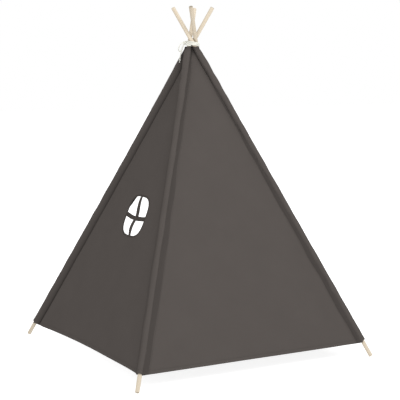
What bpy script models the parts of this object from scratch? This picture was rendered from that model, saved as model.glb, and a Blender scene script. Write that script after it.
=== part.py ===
"""Kids teepee: four lashed poles, a four-sided canopy with pole pockets, a window and a two-flap door.

Metres, +Z up. The origin is on the floor under the crossing of the poles.
The door faces -Y, the window faces +X, the plain sides face +Y and -X.
"""
import bpy
import bmesh
import math
import numpy as np
from mathutils import Vector, Matrix

# ------------------------------------------------------------------ driving dimensions
POLE_LENGTH = 1.800          # three sections of 0.6 m
POLE_RADIUS = 0.009
POLE_SECTIONS = 3
POLE_CHAMFER = 0.0015
BASE_HALF = 0.5844           # half the spacing of the foot centres
CROSS_HEIGHT = 1.4005        # crossing of the poles over the foot centres
CROSS_TWIST = 0.0142         # how far each pole passes beside the centre line

FERRULE_LENGTH = 0.080
FERRULE_INNER = 0.0093
FERRULE_OUTER = 0.0100

FABRIC = 0.0012              # thickness of the canopy cloth
POCKET_OUTER = 0.0132        # pole pocket round the pole
POCKET_INNER = 0.0120
POCKET_SEAM = 0.0380         # pocket seam at the hem, from the pole's axis
POCKET_SEAM_HIGH = 0.0270    # the same near the top, and at the top edge
POCKET_SEAM_TOP = 0.0150
POCKET_SEAM_DOOR = 0.0250    # the same at the hem, on the door's side
PANEL_INSET = 0.0050         # panels hang this far inside the poles' axes
HEM = 0.064                  # canopy's lower edge, up the slope from the foot line
CANOPY_TOP = 0.045           # from the crossing down to the canopy's top edge
POCKET_END_RISE = 0.0062     # the pocket's square-cut lower end, up the pole from the panels' hem
SEW_GAP = 0.0003             # gap that touching pieces keep

WINDOW_CENTRE = (0.055, 0.6845)   # across the panel, up its slope
WINDOW_HALF = (0.0910, 0.0905)   # half width and height inside the binding
WINDOW_POWER = 3.2               # squareness of the rounded outline
WINDOW_BINDING = 0.008
MUNTIN_WIDTH = 0.0165

DOOR_APEX = 0.997            # top of the door slit, up the slope
DOOR_ANGLE = math.radians(27.5)  # each flap's swing between closed and drawn aside
DOOR_BAND = 0.038            # width of the gathered flap
DOOR_HEM = 0.0115            # hem along the flap's free edge
DOOR_TIE_HEIGHT = 0.230
TIE_WIDTH = 0.014

ROPE_RADIUS = 0.00275
ROPE_TURNS = 3.25
ROPE_PITCH = 0.0058
ROPE_TILT = 0.12             # the turns sit higher on the knot side

# ------------------------------------------------------------------ clean slate
for old in list(bpy.data.objects):
    bpy.data.objects.remove(old, do_unlink=True)


def material(name, colour, roughness, metallic=0.0):
    m = bpy.data.materials.new(name)
    m.use_nodes = True
    b = m.node_tree.nodes["Principled BSDF"]
    b.inputs["Base Color"].default_value = (*colour, 1.0)
    b.inputs["Roughness"].default_value = roughness
    b.inputs["Metallic"].default_value = metallic
    m.diffuse_color = (*colour, 1.0)
    return m


PINE = (0.79, 0.66, 0.47)
CLOTH = (0.085, 0.076, 0.070)
CLOTH_DARK = (0.050, 0.045, 0.042)
COTTON = (0.78, 0.76, 0.68)
ZINC = (0.62, 0.62, 0.60)

# ------------------------------------------------------------------ lines of the frame
LEAN = math.hypot(BASE_HALF * math.sqrt(2), CROSS_HEIGHT)
FOOT_LIFT = (POLE_RADIUS - POLE_CHAMFER) * BASE_HALF * math.sqrt(2) / LEAN
CROSSING = np.array([0.0, 0.0, CROSS_HEIGHT + FOOT_LIFT])
CORNERS = {
    "back_right": (1, 1),
    "back_left": (-1, 1),
    "front_left": (-1, -1),
    "front_right": (1, -1),
}


def unit(v):
    v = np.asarray(v, float)
    return v / np.linalg.norm(v)


def pole_line(corner):
    """Point beside the crossing and the direction down the pole, and their distance to the foot."""
    sx, sy = CORNERS[corner]
    foot = np.array([sx * BASE_HALF, sy * BASE_HALF, FOOT_LIFT])
    out = unit((sx, sy, 0.0))
    beside = CROSSING + CROSS_TWIST * np.array([out[1], -out[0], 0.0])
    way = foot - beside
    return beside, unit(way), float(np.linalg.norm(way))


LINES = {c: pole_line(c) for c in CORNERS}
REACH = LINES["back_right"][2]           # crossing to foot, along a pole


def on_pole(corner, r):
    """Point on the pole's axis, r below the crossing."""
    p, d, _ = LINES[corner]
    return p + d * r


# panels: name -> (left corner, right corner) seen from outside
PANELS = {
    "window": ("front_right", "back_right"),
    "back": ("back_right", "back_left"),
    "plain": ("back_left", "front_left"),
    "front": ("front_left", "front_right"),
}
SLOPE = math.hypot(BASE_HALF, CROSS_HEIGHT)
HALF_FAN = math.atan2(BASE_HALF, SLOPE)


def panel_normal(panel):
    a, b = PANELS[panel]
    da, db = LINES[a][1], LINES[b][1]
    n = unit(np.cross(da, db))
    mid = CORNERS[a][0] + CORNERS[b][0], CORNERS[a][1] + CORNERS[b][1]
    return n if n[0] * mid[0] + n[1] * mid[1] > 0 else -n


NORMALS = {p: panel_normal(p) for p in PANELS}


def on_panel(panel, across, up, off=0.0):
    """Point of a panel: across from its middle (+ to the right, seen from outside), up its slope
    from the foot line, and off its middle surface (+ outwards)."""
    left, right = PANELS[panel]
    r = REACH * (1.0 - up / SLOPE)
    pa, pb = on_pole(left, r), on_pole(right, r)
    half = np.linalg.norm(pb - pa) / 2
    p = (pa + pb) / 2 + (pb - pa) * (across / (2 * half))
    return p + NORMALS[panel] * (off - PANEL_INSET)


def half_width(panel, up):
    left, right = PANELS[panel]
    r = REACH * (1.0 - up / SLOPE)
    return float(np.linalg.norm(on_pole(right, r) - on_pole(left, r)) / 2)


def seam_distance(panel, r):
    """Pocket seam from the pole's axis; it narrows where the poles come together."""
    near = min(1.0, max(0.0, (r - CANOPY_TOP) / 0.105))
    far = min(1.0, max(0.0, (r - 0.15) / 0.95))
    wide, high = POCKET_SEAM, POCKET_SEAM_HIGH
    if panel == "front":
        wide, high = POCKET_SEAM_DOOR, min(POCKET_SEAM_HIGH, POCKET_SEAM_DOOR)
    return POCKET_SEAM_TOP + (high - POCKET_SEAM_TOP) * near + (wide - high) * far


def up_of(r):
    return SLOPE * (1.0 - r / REACH)


def seam_across(panel, up):
    """Distance from the panel's middle to the pocket seam."""
    r = REACH * (1.0 - up / SLOPE)
    return half_width(panel, up) - (seam_distance(panel, r) + SEW_GAP) / math.cos(HALF_FAN)


HEM_UP = HEM
HEM_R = REACH * (1.0 - HEM / SLOPE)
TOP_UP = up_of(CANOPY_TOP)


def edge_across(up):
    """The drawn-aside flap's free edge, from the middle of the front."""
    return (DOOR_APEX - up) * math.tan(DOOR_ANGLE)


def band_across(up):
    """The gathered flap's outer border, from the middle of the front."""
    return edge_across(up) + DOOR_BAND / math.cos(DOOR_ANGLE)


# ------------------------------------------------------------------ joints' empties
EMPTIES = {}
PLACES = {}


def pivot(name, place, parent=None):
    e = bpy.data.objects.new(name, None)
    e.empty_display_size = 0.05
    bpy.context.scene.collection.objects.link(e)
    e.location = Vector(place)
    if parent is not None:
        e.parent = EMPTIES[parent]
        e.location = Vector(place) - PLACES[parent]
    PLACES[name] = Vector(place)
    EMPTIES[name] = e
    return e


def finish(obj, mat, at, smooth_angle=40.0):
    obj.data.materials.append(mat)
    bpy.context.scene.collection.objects.link(obj)
    obj.data.transform(Matrix.Translation(-PLACES[at]))
    obj.parent = EMPTIES[at]
    if hasattr(obj.data, "shade_smooth"):
        obj.data.shade_smooth()
        obj.data.set_sharp_from_angle(angle=math.radians(smooth_angle))
    return obj


def mesh_object(name, bm):
    bmesh.ops.recalc_face_normals(bm, faces=bm.faces)
    if bm.calc_volume(signed=True) < 0.0:
        bmesh.ops.reverse_faces(bm, faces=bm.faces)
    me = bpy.data.meshes.new(name)
    bm.to_mesh(me)
    bm.free()
    return bpy.data.objects.new(name, me)


# ------------------------------------------------------------------ builders
def turned(name, profile, start, end, sides=20):
    """A profile of (radius, height) turned about the line from start towards end."""
    bm = bmesh.new()
    ring = [bm.verts.new((r, 0.0, h)) for r, h in profile]
    closed = profile[0][0] > 1e-6 and profile[-1][0] > 1e-6
    edges = [bm.edges.new((ring[i], ring[i + 1])) for i in range(len(ring) - 1)]
    if closed:
        edges.append(bm.edges.new((ring[-1], ring[0])))
    bmesh.ops.spin(
        bm, geom=ring + edges, cent=(0, 0, 0), axis=(0, 0, 1),
        angle=2 * math.pi, steps=sides, use_merge=True, use_duplicate=False,
    )
    bmesh.ops.remove_doubles(bm, verts=bm.verts, dist=1e-6)
    way = Vector(unit(np.asarray(end) - np.asarray(start)))
    bm.transform(Matrix.Translation(Vector(start)) @ way.to_track_quat("Z", "Y").to_matrix().to_4x4())
    return mesh_object(name, bm)


def sheet(name, rows, normal, thickness=FABRIC):
    """A sheet with its middle surface through rows of points, all rows equally long."""
    bm = bmesh.new()
    n = Vector(normal) * (thickness / 2)
    grid = [[(bm.verts.new(Vector(p) + n), bm.verts.new(Vector(p) - n)) for p in row] for row in rows]
    last_i, last_j = len(grid) - 1, len(grid[0]) - 1
    for i in range(last_i):
        for j in range(last_j):
            for k in (0, 1):
                bm.faces.new((grid[i][j][k], grid[i][j + 1][k], grid[i + 1][j + 1][k], grid[i + 1][j][k]))
    for i in range(last_i):
        for j in (0, last_j):
            bm.faces.new((grid[i][j][0], grid[i + 1][j][0], grid[i + 1][j][1], grid[i][j][1]))
    for j in range(last_j):
        for i in (0, last_i):
            bm.faces.new((grid[i][j][0], grid[i][j + 1][0], grid[i][j + 1][1], grid[i][j][1]))
    return mesh_object(name, bm)


def rings_to_tube(name, outer_rings, inner_rings):
    """A tube with a wall, from matching outer and inner rings along its length."""
    bm = bmesh.new()
    o = [[bm.verts.new(Vector(p)) for p in ring] for ring in outer_rings]
    q = [[bm.verts.new(Vector(p)) for p in ring] for ring in inner_rings]
    n = len(o[0])
    for i in range(len(o) - 1):
        for j in range(n):
            k = (j + 1) % n
            bm.faces.new((o[i][j], o[i][k], o[i + 1][k], o[i + 1][j]))
            bm.faces.new((q[i][k], q[i][j], q[i + 1][j], q[i + 1][k]))
    for i in (0, len(o) - 1):
        for j in range(n):
            k = (j + 1) % n
            bm.faces.new((o[i][j], o[i][k], q[i][k], q[i][j]))
    return mesh_object(name, bm)


def swept(name, stations):
    """A closed solid through matching cross-sections, capped at both ends."""
    bm = bmesh.new()
    rings = [[bm.verts.new(Vector(p)) for p in ring] for ring in stations]
    n = len(rings[0])
    for i in range(len(rings) - 1):
        for j in range(n):
            k = (j + 1) % n
            bm.faces.new((rings[i][j], rings[i][k], rings[i + 1][k], rings[i + 1][j]))
    bm.faces.new(rings[0])
    bm.faces.new(rings[-1])
    return mesh_object(name, bm)


def smooth_route(points, count):
    """Points evenly spread on a smooth curve through the given ones."""
    p = np.array(points, float)
    p = np.vstack([2 * p[0] - p[1], p, 2 * p[-1] - p[-2]])
    dense = []
    for i in range(1, len(p) - 2):
        for t in np.linspace(0, 1, 24, endpoint=False):
            a, b, c, d = p[i - 1], p[i], p[i + 1], p[i + 2]
            dense.append(0.5 * (2 * b + (c - a) * t + (2 * a - 5 * b + 4 * c - d) * t * t
                                + (3 * b - a - 3 * c + d) * t ** 3))
    dense.append(p[-2])
    dense = np.array(dense)
    s = np.r_[0, np.cumsum(np.linalg.norm(np.diff(dense, axis=0), axis=1))]
    at = np.linspace(0, s[-1], count)
    return np.stack([np.interp(at, s, dense[:, k]) for k in range(3)], 1)


def cord(name, route, radius):
    cu = bpy.data.curves.new(name, "CURVE")
    cu.dimensions = "3D"
    sp = cu.splines.new("POLY")
    sp.points.add(len(route) - 1)
    for q, p in zip(sp.points, route):
        q.co = (*p, 1.0)
    cu.bevel_depth = radius
    cu.bevel_resolution = 2
    cu.use_fill_caps = True
    return bpy.data.objects.new(name, cu)


# ------------------------------------------------------------------ pivots of everything that moves
O = CROSSING
pivot("frame_origin", O)
pivot("pole_back_left_pivot", O, "frame_origin")
pivot("pole_front_right_pivot", O, "frame_origin")
pivot("pole_front_left_pivot", O, "pole_back_left_pivot")
pivot("window_panel_pivot", O, "frame_origin")
pivot("back_panel_pivot", O, "frame_origin")
pivot("plain_panel_pivot", O, "pole_back_left_pivot")
pivot("front_panel_pivot", O, "pole_front_right_pivot")
POLE_AT = {
    "back_right": "frame_origin",
    "back_left": "pole_back_left_pivot",
    "front_left": "pole_front_left_pivot",
    "front_right": "pole_front_right_pivot",
}


def side_pivot(side):
    """Foot of the gathered flap, beside the pocket seam."""
    return on_panel("front", side * (band_across(HEM_UP)), HEM_UP)


for side, word in ((1, "right"), (-1, "left")):
    pivot(f"door_side_{word}_pivot", side_pivot(side), f"pole_front_{word}_pivot")
    pivot(f"door_{word}_pivot", on_panel("front", 0.0, DOOR_APEX), f"door_side_{word}_pivot")

# ------------------------------------------------------------------ poles and ferrules
SECTION = POLE_LENGTH / POLE_SECTIONS
LEVELS = ("lower", "middle", "upper")
for c in CORNERS:
    foot, up = on_pole(c, REACH), -LINES[c][1]
    for i, level in enumerate(LEVELS):
        a = i * SECTION + (SEW_GAP / 2 if i else 0.0)
        b = (i + 1) * SECTION - (SEW_GAP / 2 if i < POLE_SECTIONS - 1 else 0.0)
        ca = POLE_CHAMFER if i == 0 else 0.0005
        cb = POLE_CHAMFER if i == POLE_SECTIONS - 1 else 0.0005
        h = b - a
        profile = [(0.0, 0.0), (POLE_RADIUS - ca, 0.0), (POLE_RADIUS, ca),
                   (POLE_RADIUS, h - cb), (POLE_RADIUS - cb, h), (0.0, h)]
        finish(turned(f"pole_{c}_{level}", profile, foot + up * a, foot + up * b, 20),
               material(f"pine_{c}_{level}", PINE, 0.55), POLE_AT[c])
    for i, where in ((1, "low"), (2, "high")):
        mid = foot + up * (i * SECTION)
        half = FERRULE_LENGTH / 2
        profile = [(FERRULE_INNER, -half), (FERRULE_OUTER, -half),
                   (FERRULE_OUTER, half), (FERRULE_INNER, half)]
        finish(turned(f"ferrule_{c}_{where}", profile, mid, mid + up * 0.1, 16),
               material(f"zinc_{c}_{where}", ZINC, 0.35, 1.0), POLE_AT[c])


# ------------------------------------------------------------------ pole pockets
def pocket_directions(c):
    """In the plane square to the pole: the ways into the two panels it carries, from the left one."""
    found = {}
    for panel, (left, right) in PANELS.items():
        if c in (left, right):
            other = right if c == left else left
            way = on_pole(other, REACH) - on_pole(c, REACH)
            d = LINES[c][1]
            found[panel] = unit(way - d * (way @ d))
    return found


def pocket_ring(c, r, skin, less=0.0, level="", count=10):
    """Cross-section of the pocket at r: a taut skin round the pole and out to both seams."""
    d = LINES[c][1]
    ways = pocket_directions(c)
    inward = unit(sum(ways.values()))
    side = np.cross(d, inward)
    phi = np.radians(np.arange(0, 360, 1.0))
    support = np.full(len(phi), skin)
    ends = []
    for panel, way in ways.items():
        seam = way * (seam_distance(panel, r) - less) - NORMALS[panel] * PANEL_INSET
        x, y = float(seam @ inward), float(seam @ side)
        support = np.maximum(support, x * np.cos(phi) + y * np.sin(phi))
        ends.append(math.atan2(y, x))
    low, high = min(ends), max(ends)
    inner_arc = [high + (low - high) * k / 4 for k in range(4)]
    outer_arc = [low - (2 * math.pi - (high - low)) * k / (2 * count) for k in range(2 * count)]
    ring = []
    for theta in inner_arc + outer_arc:
        c_ = np.cos(theta - phi)
        ok = c_ > 0.05
        radius = float(np.min(support[ok] / c_[ok]))
        p = on_pole(c, r) + (inward * math.cos(theta) + side * math.sin(theta)) * radius
        if level == "top":        # the upper edge is cut level
            p = p + d * ((on_pole(c, r)[2] - p[2]) / d[2])
        if level == "hem" and p[2] < on_pole(c, HEM_R)[2]:      # square to the pole, but not below the hem
            p = p + d * ((on_pole(c, HEM_R)[2] - p[2]) / d[2])
        ring.append(p)
    return ring


for c in CORNERS:
    top, end = CANOPY_TOP, HEM_R - POCKET_END_RISE
    stations = [top, 0.130, 0.165, 0.30, 0.6, 1.1, 1.45, end]
    cut = {top: "top", end: "hem"}
    outer = [pocket_ring(c, r, POCKET_OUTER, 0.0, cut.get(r, "")) for r in stations]
    inner = [pocket_ring(c, r, POCKET_INNER, 0.0022, cut.get(r, "")) for r in stations]
    finish(rings_to_tube(f"pocket_{c}", outer, inner), material(f"pocket_cloth_{c}", CLOTH, 0.9), POLE_AT[c])


# ------------------------------------------------------------------ canopy panels
def panel_rows(panel, low, high, left, right, n_up=14, n_across=10):
    rows = []
    for i in range(n_up + 1):
        up = low + (high - low) * i / n_up
        a, b = left(up), right(up)
        rows.append([on_panel(panel, a + (b - a) * j / n_across, up) for j in range(n_across + 1)])
    return rows


PANEL_AT = {"window": "window_panel_pivot", "back": "back_panel_pivot", "plain": "plain_panel_pivot"}
PANEL_NAME = {"window": "window_panel", "back": "back_panel", "plain": "plain_side_panel"}
WHOLE = {}
for panel in ("window", "back", "plain"):
    rows = panel_rows(panel, HEM_UP, TOP_UP,
                      lambda up, p=panel: -seam_across(p, up), lambda up, p=panel: seam_across(p, up))
    WHOLE[panel] = finish(sheet(PANEL_NAME[panel], rows, NORMALS[panel]),
                          material(f"{panel}_panel_cloth", CLOTH, 0.9), PANEL_AT[panel])

# front of the canopy above the door
front_top = panel_rows("front", DOOR_APEX + SEW_GAP, TOP_UP,
                       lambda up: -seam_across("front", up), lambda up: seam_across("front", up), 6, 8)
finish(sheet("front_panel", front_top, NORMALS["front"]),
       material("front_panel_cloth", CLOTH, 0.9), "front_panel_pivot")


# ------------------------------------------------------------------ window
def window_point(angle, grow, off=0.0):
    """Point of the window's rounded outline, grown outwards by grow."""
    c, s = math.cos(angle), math.sin(angle)
    a, b = WINDOW_HALF[0] + grow, WINDOW_HALF[1] + grow
    k = (abs(c / a) ** WINDOW_POWER + abs(s / b) ** WINDOW_POWER) ** (-1.0 / WINDOW_POWER)
    return on_panel("window", WINDOW_CENTRE[0] + c * k, WINDOW_CENTRE[1] + s * k, off)


ROUND = 40
bm = bmesh.new()
loop = [window_point(2 * math.pi * i / ROUND, WINDOW_BINDING + SEW_GAP) for i in range(ROUND)]
n = Vector(NORMALS["window"])
near = [bm.verts.new(Vector(p) + n * 0.03) for p in loop]
far = [bm.verts.new(Vector(p) - n * 0.03) for p in loop]
bm.faces.new(near)
bm.faces.new(far)
for i in range(ROUND):
    k = (i + 1) % ROUND
    bm.faces.new((near[i], near[k], far[k], far[i]))
cutter = mesh_object("window_cutter", bm)
bpy.context.scene.collection.objects.link(cutter)
cutter.data.transform(Matrix.Translation(-PLACES["window_panel_pivot"]))
cutter.parent = EMPTIES["window_panel_pivot"]
cutter.hide_render = True
cutter.display_type = "WIRE"
cut = WHOLE["window"].modifiers.new("window", "BOOLEAN")
cut.operation = "DIFFERENCE"
cut.solver = "EXACT"
cut.object = cutter

bind_half = 0.0012
rings = []
for i in range(ROUND):
    t = 2 * math.pi * i / ROUND
    rings.append([window_point(t, 0.0, bind_half), window_point(t, WINDOW_BINDING, bind_half),
                  window_point(t, WINDOW_BINDING, -bind_half), window_point(t, 0.0, -bind_half)])
bm = bmesh.new()
vs = [[bm.verts.new(Vector(p)) for p in ring] for ring in rings]
for i in range(ROUND):
    k = (i + 1) % ROUND
    for j in range(4):
        l = (j + 1) % 4
        bm.faces.new((vs[i][j], vs[i][l], vs[k][l], vs[k][j]))
finish(mesh_object("window_binding", bm), material("binding_cloth", CLOTH_DARK, 0.9), "window_panel_pivot")


def window_reach(offset, vertical):
    """How far the opening reaches from its middle line, offset to one side of it."""
    a, b = WINDOW_HALF
    side, along = (a, b) if vertical else (b, a)
    return along * (1 - abs(offset / side) ** WINDOW_POWER) ** (1 / WINDOW_POWER)


half = MUNTIN_WIDTH / 2
wc = WINDOW_CENTRE
reach = window_reach(half, True) - 0.0008
rows = [[on_panel("window", wc[0] + x, wc[1] + y, 0.0007) for x in (-half, half)]
        for y in np.linspace(-reach, reach, 7)]
finish(sheet("window_bar_upright", rows, NORMALS["window"], 0.0010),
       material("bar_upright_cloth", CLOTH_DARK, 0.9), "window_panel_pivot")
reach = window_reach(half, False) - 0.0008
rows = [[on_panel("window", wc[0] + x, wc[1] + y, -0.0007) for y in (-half, half)]
        for x in np.linspace(-reach, reach, 7)]
finish(sheet("window_bar_level", rows, NORMALS["window"], 0.0010),
       material("bar_level_cloth", CLOTH, 0.9), "window_panel_pivot")

# ------------------------------------------------------------------ door
OUTW = NORMALS["front"]


def door_point(side, out, down, off=0.0):
    """Point beside the drawn-aside flap's free edge: out towards the pole, down from the slit's top
    along the edge, off the panel."""
    across = down * math.sin(DOOR_ANGLE) + out * math.cos(DOOR_ANGLE)
    up = DOOR_APEX - down * math.cos(DOOR_ANGLE) + out * math.sin(DOOR_ANGLE)
    return on_panel("front", side * across, up, off)


def to_hem(out):
    """Distance down from the slit's top at which a line parallel to the free edge meets the hem."""
    return (DOOR_APEX + out * math.sin(DOOR_ANGLE) - HEM_UP) / math.cos(DOOR_ANGLE)


def to_top(out):
    """The same line's start, level with the slit's top."""
    return out * math.sin(DOOR_ANGLE) / math.cos(DOOR_ANGLE)


def flap_end(out):
    """The gathered flap's lower end. Its free edge is only as long as the closed door is high, so it
    hangs clear of the hem when it is drawn aside."""
    t = min(1.0, max(0.0, (out - DOOR_HEM) / (DOOR_BAND - DOOR_HEM)))
    return (DOOR_APEX - HEM_UP) * (1.0 - t) + to_hem(DOOR_BAND) * t


def gather_depth(down):
    """Half the depth of the gathered cloth."""
    return 0.003 + 0.007 * down / to_hem(0.0)


for side, word in ((1, "right"), (-1, "left")):
    at_pole = f"pole_front_{word}_pivot"
    at_side = f"door_side_{word}_pivot"
    at_door = f"door_{word}_pivot"
    # narrow cloth between the flap and the pole pocket
    rows = []
    for i in range(15):
        up = HEM_UP + 0.004 + (DOOR_APEX - SEW_GAP - HEM_UP - 0.004) * i / 14
        a = band_across(up) + SEW_GAP
        b = max(seam_across("front", up), a + 0.0012)
        rows.append([on_panel("front", side * (a + (b - a) * j / 3), up) for j in range(4)])
    finish(sheet(f"front_strip_{word}", rows, OUTW),
           material(f"front_strip_cloth_{word}", CLOTH, 0.9), at_pole)
    # the flap, gathered in upright folds beside the opening
    stations = []
    a, b = DOOR_HEM + SEW_GAP, DOOR_BAND - SEW_GAP
    for i in range(13):
        t = i / 12
        ring = []
        for out, sign in ((a, 1), ((a + b) / 2, 1), (b, 1), (b, -1), ((a + b) / 2, -1), (a, -1)):
            down = to_top(out) + 0.0006 + (flap_end(out) - to_top(out) - 0.0006) * t
            depth = gather_depth(down) * (1.0 if abs(out - (a + b) / 2) < 1e-9 else 0.72)
            ring.append(door_point(side, out, down, sign * depth))
        stations.append(ring)
    finish(swept(f"door_flap_{word}", stations),
           material(f"door_flap_cloth_{word}", CLOTH, 0.9), at_side)
    # hem along the flap's free edge
    rows = []
    for i in range(13):
        row = []
        for out in (0.0, DOOR_HEM):
            lo, hi = to_top(out) + 0.0006, flap_end(out)
            row.append(door_point(side, out, lo + (hi - lo) * i / 12))
        rows.append(row)
    finish(sheet(f"door_hem_{word}", rows, OUTW, 0.0022),
           material(f"door_hem_cloth_{word}", CLOTH_DARK, 0.9), at_door)
    # tie that holds the gathered flap: a tape out of the pocket seam, round the flap and back
    down = (DOOR_APEX - DOOR_TIE_HEIGHT) / math.cos(DOOR_ANGLE)
    depth = gather_depth(down) + 0.0012
    gap_up = DOOR_TIE_HEIGHT
    seam = (seam_across("front", gap_up) - edge_across(gap_up)) * math.cos(DOOR_ANGLE)
    path = [(seam - 0.0008, 0.0024), (DOOR_BAND + 0.004, depth * 0.80), (DOOR_BAND * 0.72, depth),
            (DOOR_BAND * 0.35, depth * 0.92), (0.004, depth * 0.62), (-0.0035, depth * 0.34), (-0.0055, 0.0)]
    path = path + [(p, -o) for p, o in reversed(path[:-1])]
    tape = 0.0010
    stations = []
    for i, (p, o) in enumerate(path):
        a = np.array(path[max(i - 1, 0)])
        b = np.array(path[min(i + 1, len(path) - 1)])
        t = (b - a) / np.linalg.norm(b - a)
        nx, ny = -t[1] * tape / 2, t[0] * tape / 2
        ring = []
        for w, s in ((-TIE_WIDTH / 2, 1), (TIE_WIDTH / 2, 1), (TIE_WIDTH / 2, -1), (-TIE_WIDTH / 2, -1)):
            ring.append(door_point(side, p + s * nx, down + w, o + s * ny))
        stations.append(ring)
    finish(swept(f"door_tie_{word}", stations),
           material(f"door_tie_tape_{word}", CLOTH_DARK, 0.85), at_side)
    # the tie's bow, over the pocket seam
    outline = [(0.000, 0.006), (0.010, 0.009), (0.024, 0.012), (0.031, 0.004), (0.027, -0.007),
               (0.011, -0.007), (0.008, -0.011), (0.013, -0.034), (0.017, -0.062), (0.007, -0.064),
               (0.003, -0.036), (0.000, -0.016)]
    outline = outline + [(-x, y) for x, y in reversed(outline[1:-1])]
    centre = seam_across("front", DOOR_TIE_HEIGHT) + 0.004
    bm = bmesh.new()
    front, back = [], []
    for x, y in outline:
        for off, into in ((0.0222, front), (0.0198, back)):
            into.append(bm.verts.new(Vector(on_panel("front", side * (centre + x), DOOR_TIE_HEIGHT + y, off))))
    bm.faces.new(front)
    bm.faces.new(back)
    for i in range(len(outline)):
        k = (i + 1) % len(outline)
        bm.faces.new((front[i], front[k], back[k], back[i]))
    finish(mesh_object(f"door_bow_{word}", bm),
           material(f"door_bow_tape_{word}", CLOTH_DARK, 0.85), at_pole)

# sewn patch over the top of the slit
rows = []
for i in range(4):
    up = DOOR_APEX + 0.001 + 0.032 * i / 3
    w = 0.020 * (1 - 0.25 * i / 3)
    rows.append([on_panel("front", w * (2 * j / 4 - 1), up, FABRIC / 2 + 0.0013) for j in range(5)])
finish(sheet("door_top_patch", rows, OUTW, 0.0012), material("patch_cloth", CLOTH_DARK, 0.9), "front_panel_pivot")


# ------------------------------------------------------------------ lashing
def bundle_support(z, phi):
    """Support of the four poles' cross-section at height z, in direction phi."""
    n = np.array([math.cos(phi), math.sin(phi)])
    best = 0.0
    for c in CORNERS:
        p, d, _ = LINES[c]
        at = p + d * ((z - p[2]) / d[2])
        lean = unit(d[:2])
        k = float(n @ lean)
        stretch = POLE_RADIUS / abs(d[2])
        best = max(best, float(at[:2] @ n) + math.sqrt((stretch * k) ** 2 + (POLE_RADIUS ** 2) * (1 - k * k)))
    return best


def bundle_radius(z, theta, extra):
    values = []
    for phi in np.radians(np.arange(-66, 67, 6.0)) + theta:
        values.append((bundle_support(z, phi) + extra) / math.cos(theta - phi))
    return min(values)


KNOT_WAY = math.radians(-29.9)      # the knot sits on the window side
ROPE_TOP = CROSSING[2] - 0.0034
route = []
steps = int(ROPE_TURNS * 34)
for i in range(steps + 1):
    turn = ROPE_TURNS * i / steps
    theta = KNOT_WAY + 2 * math.pi * turn
    z = ROPE_TOP - ROPE_PITCH * turn + ROPE_TILT * 0.024 * math.cos(theta - KNOT_WAY)
    radius = max(bundle_radius(z - ROPE_RADIUS, theta, 0.0), bundle_radius(z + ROPE_RADIUS, theta, 0.0)) \
        + ROPE_RADIUS + 0.0005
    route.append(np.array([radius * math.cos(theta), radius * math.sin(theta), z]))
route = np.array(route)


def tube_mesh(name, route, radius, sides=8):
    """A solid tube along a route, capped, with rings that keep upright."""
    stations = []
    for i, p in enumerate(route):
        t = unit(route[min(i + 1, len(route) - 1)] - route[max(i - 1, 0)])
        side = unit(np.cross(t, (0, 0, 1.0)))
        up = np.cross(side, t)
        stations.append([p + radius * (math.cos(a) * side + math.sin(a) * up)
                         for a in np.linspace(0, 2 * math.pi, sides, endpoint=False)])
    return swept(name, stations)


finish(tube_mesh("lashing_rope", route, ROPE_RADIUS), material("rope_cotton", COTTON, 0.9), "frame_origin", 60)

KNOT_OUT = np.array([math.cos(KNOT_WAY), math.sin(KNOT_WAY), 0.0])
KNOT_SIDE = np.array([-KNOT_OUT[1], KNOT_OUT[0], 0.0])
rope_out = max(float(p @ KNOT_OUT) for p in route)
KNOT_RADII = (0.0065, 0.0085, 0.0055)
KNOT = KNOT_OUT * (rope_out + ROPE_RADIUS + KNOT_RADII[0] + SEW_GAP) \
    + np.array([0.0, 0.0, CROSSING[2] - 0.0080])
bm = bmesh.new()
bmesh.ops.create_uvsphere(bm, u_segments=16, v_segments=10, radius=1.0)
bmesh.ops.transform(bm, verts=bm.verts, matrix=Matrix(
    [[*(KNOT_OUT[k] * KNOT_RADII[0] if j == 0 else KNOT_SIDE[k] * KNOT_RADII[1] if j == 1
        else (KNOT_RADII[2] if k == 2 else 0.0) for j in range(3)), KNOT[k]] for k in range(3)]
    + [[0, 0, 0, 1]]))
finish(mesh_object("lashing_knot", bm), material("knot_cotton", COTTON, 0.9), "frame_origin", 60)


def by_knot(out, side, down):
    return KNOT + KNOT_OUT * out + KNOT_SIDE * side - np.array([0.0, 0.0, down])


LOOP = [by_knot(0.0086, 0.0035, -0.0009), by_knot(0.0148, 0.0052, 0.0036), by_knot(0.0224, 0.0052, 0.0148),
        by_knot(0.0261, 0.0030, 0.0260), by_knot(0.0244, -0.0003, 0.0345), by_knot(0.0194, -0.0040, 0.0389),
        by_knot(0.0145, -0.0062, 0.0344), by_knot(0.0109, -0.0064, 0.0254), by_knot(0.0073, -0.0055, 0.0164),
        by_knot(0.0041, -0.0044, 0.0088)]
finish(cord("lashing_loop", smooth_route(LOOP, 22), 0.0024), material("loop_cotton", COTTON, 0.9), "frame_origin")

TAIL = [by_knot(0.0012, 0.0042, 0.0082), by_knot(0.0062, 0.0036, 0.0179), by_knot(0.0104, 0.0020, 0.0291),
        by_knot(0.0138, 0.0002, 0.0407), by_knot(0.0168, -0.0024, 0.0519), by_knot(0.0185, -0.0050, 0.0613),
        by_knot(0.0195, -0.0070, 0.0705)]
finish(cord("lashing_tail", smooth_route(TAIL, 20), 0.0024), material("tail_cotton", COTTON, 0.9), "frame_origin")

tip = unit(TAIL[-1] - TAIL[-2])
start = TAIL[-1] + tip * SEW_GAP
profile = [(0.0, 0.0), (0.0030, 0.0003), (0.0050, 0.0025), (0.0054, 0.0055), (0.0048, 0.0085),
           (0.0030, 0.0108), (0.0, 0.0114)]
finish(turned("lashing_tail_knot", profile, start, start + tip, 14),
       material("tail_knot_cotton", COTTON, 0.9), "frame_origin", 60)
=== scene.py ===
"""Kids teepee, visual model. Metres, +Z up, door towards -Y, window towards +X."""
import math
import bpy
import bmesh
import numpy as np
from mathutils import Matrix, Vector


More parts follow.
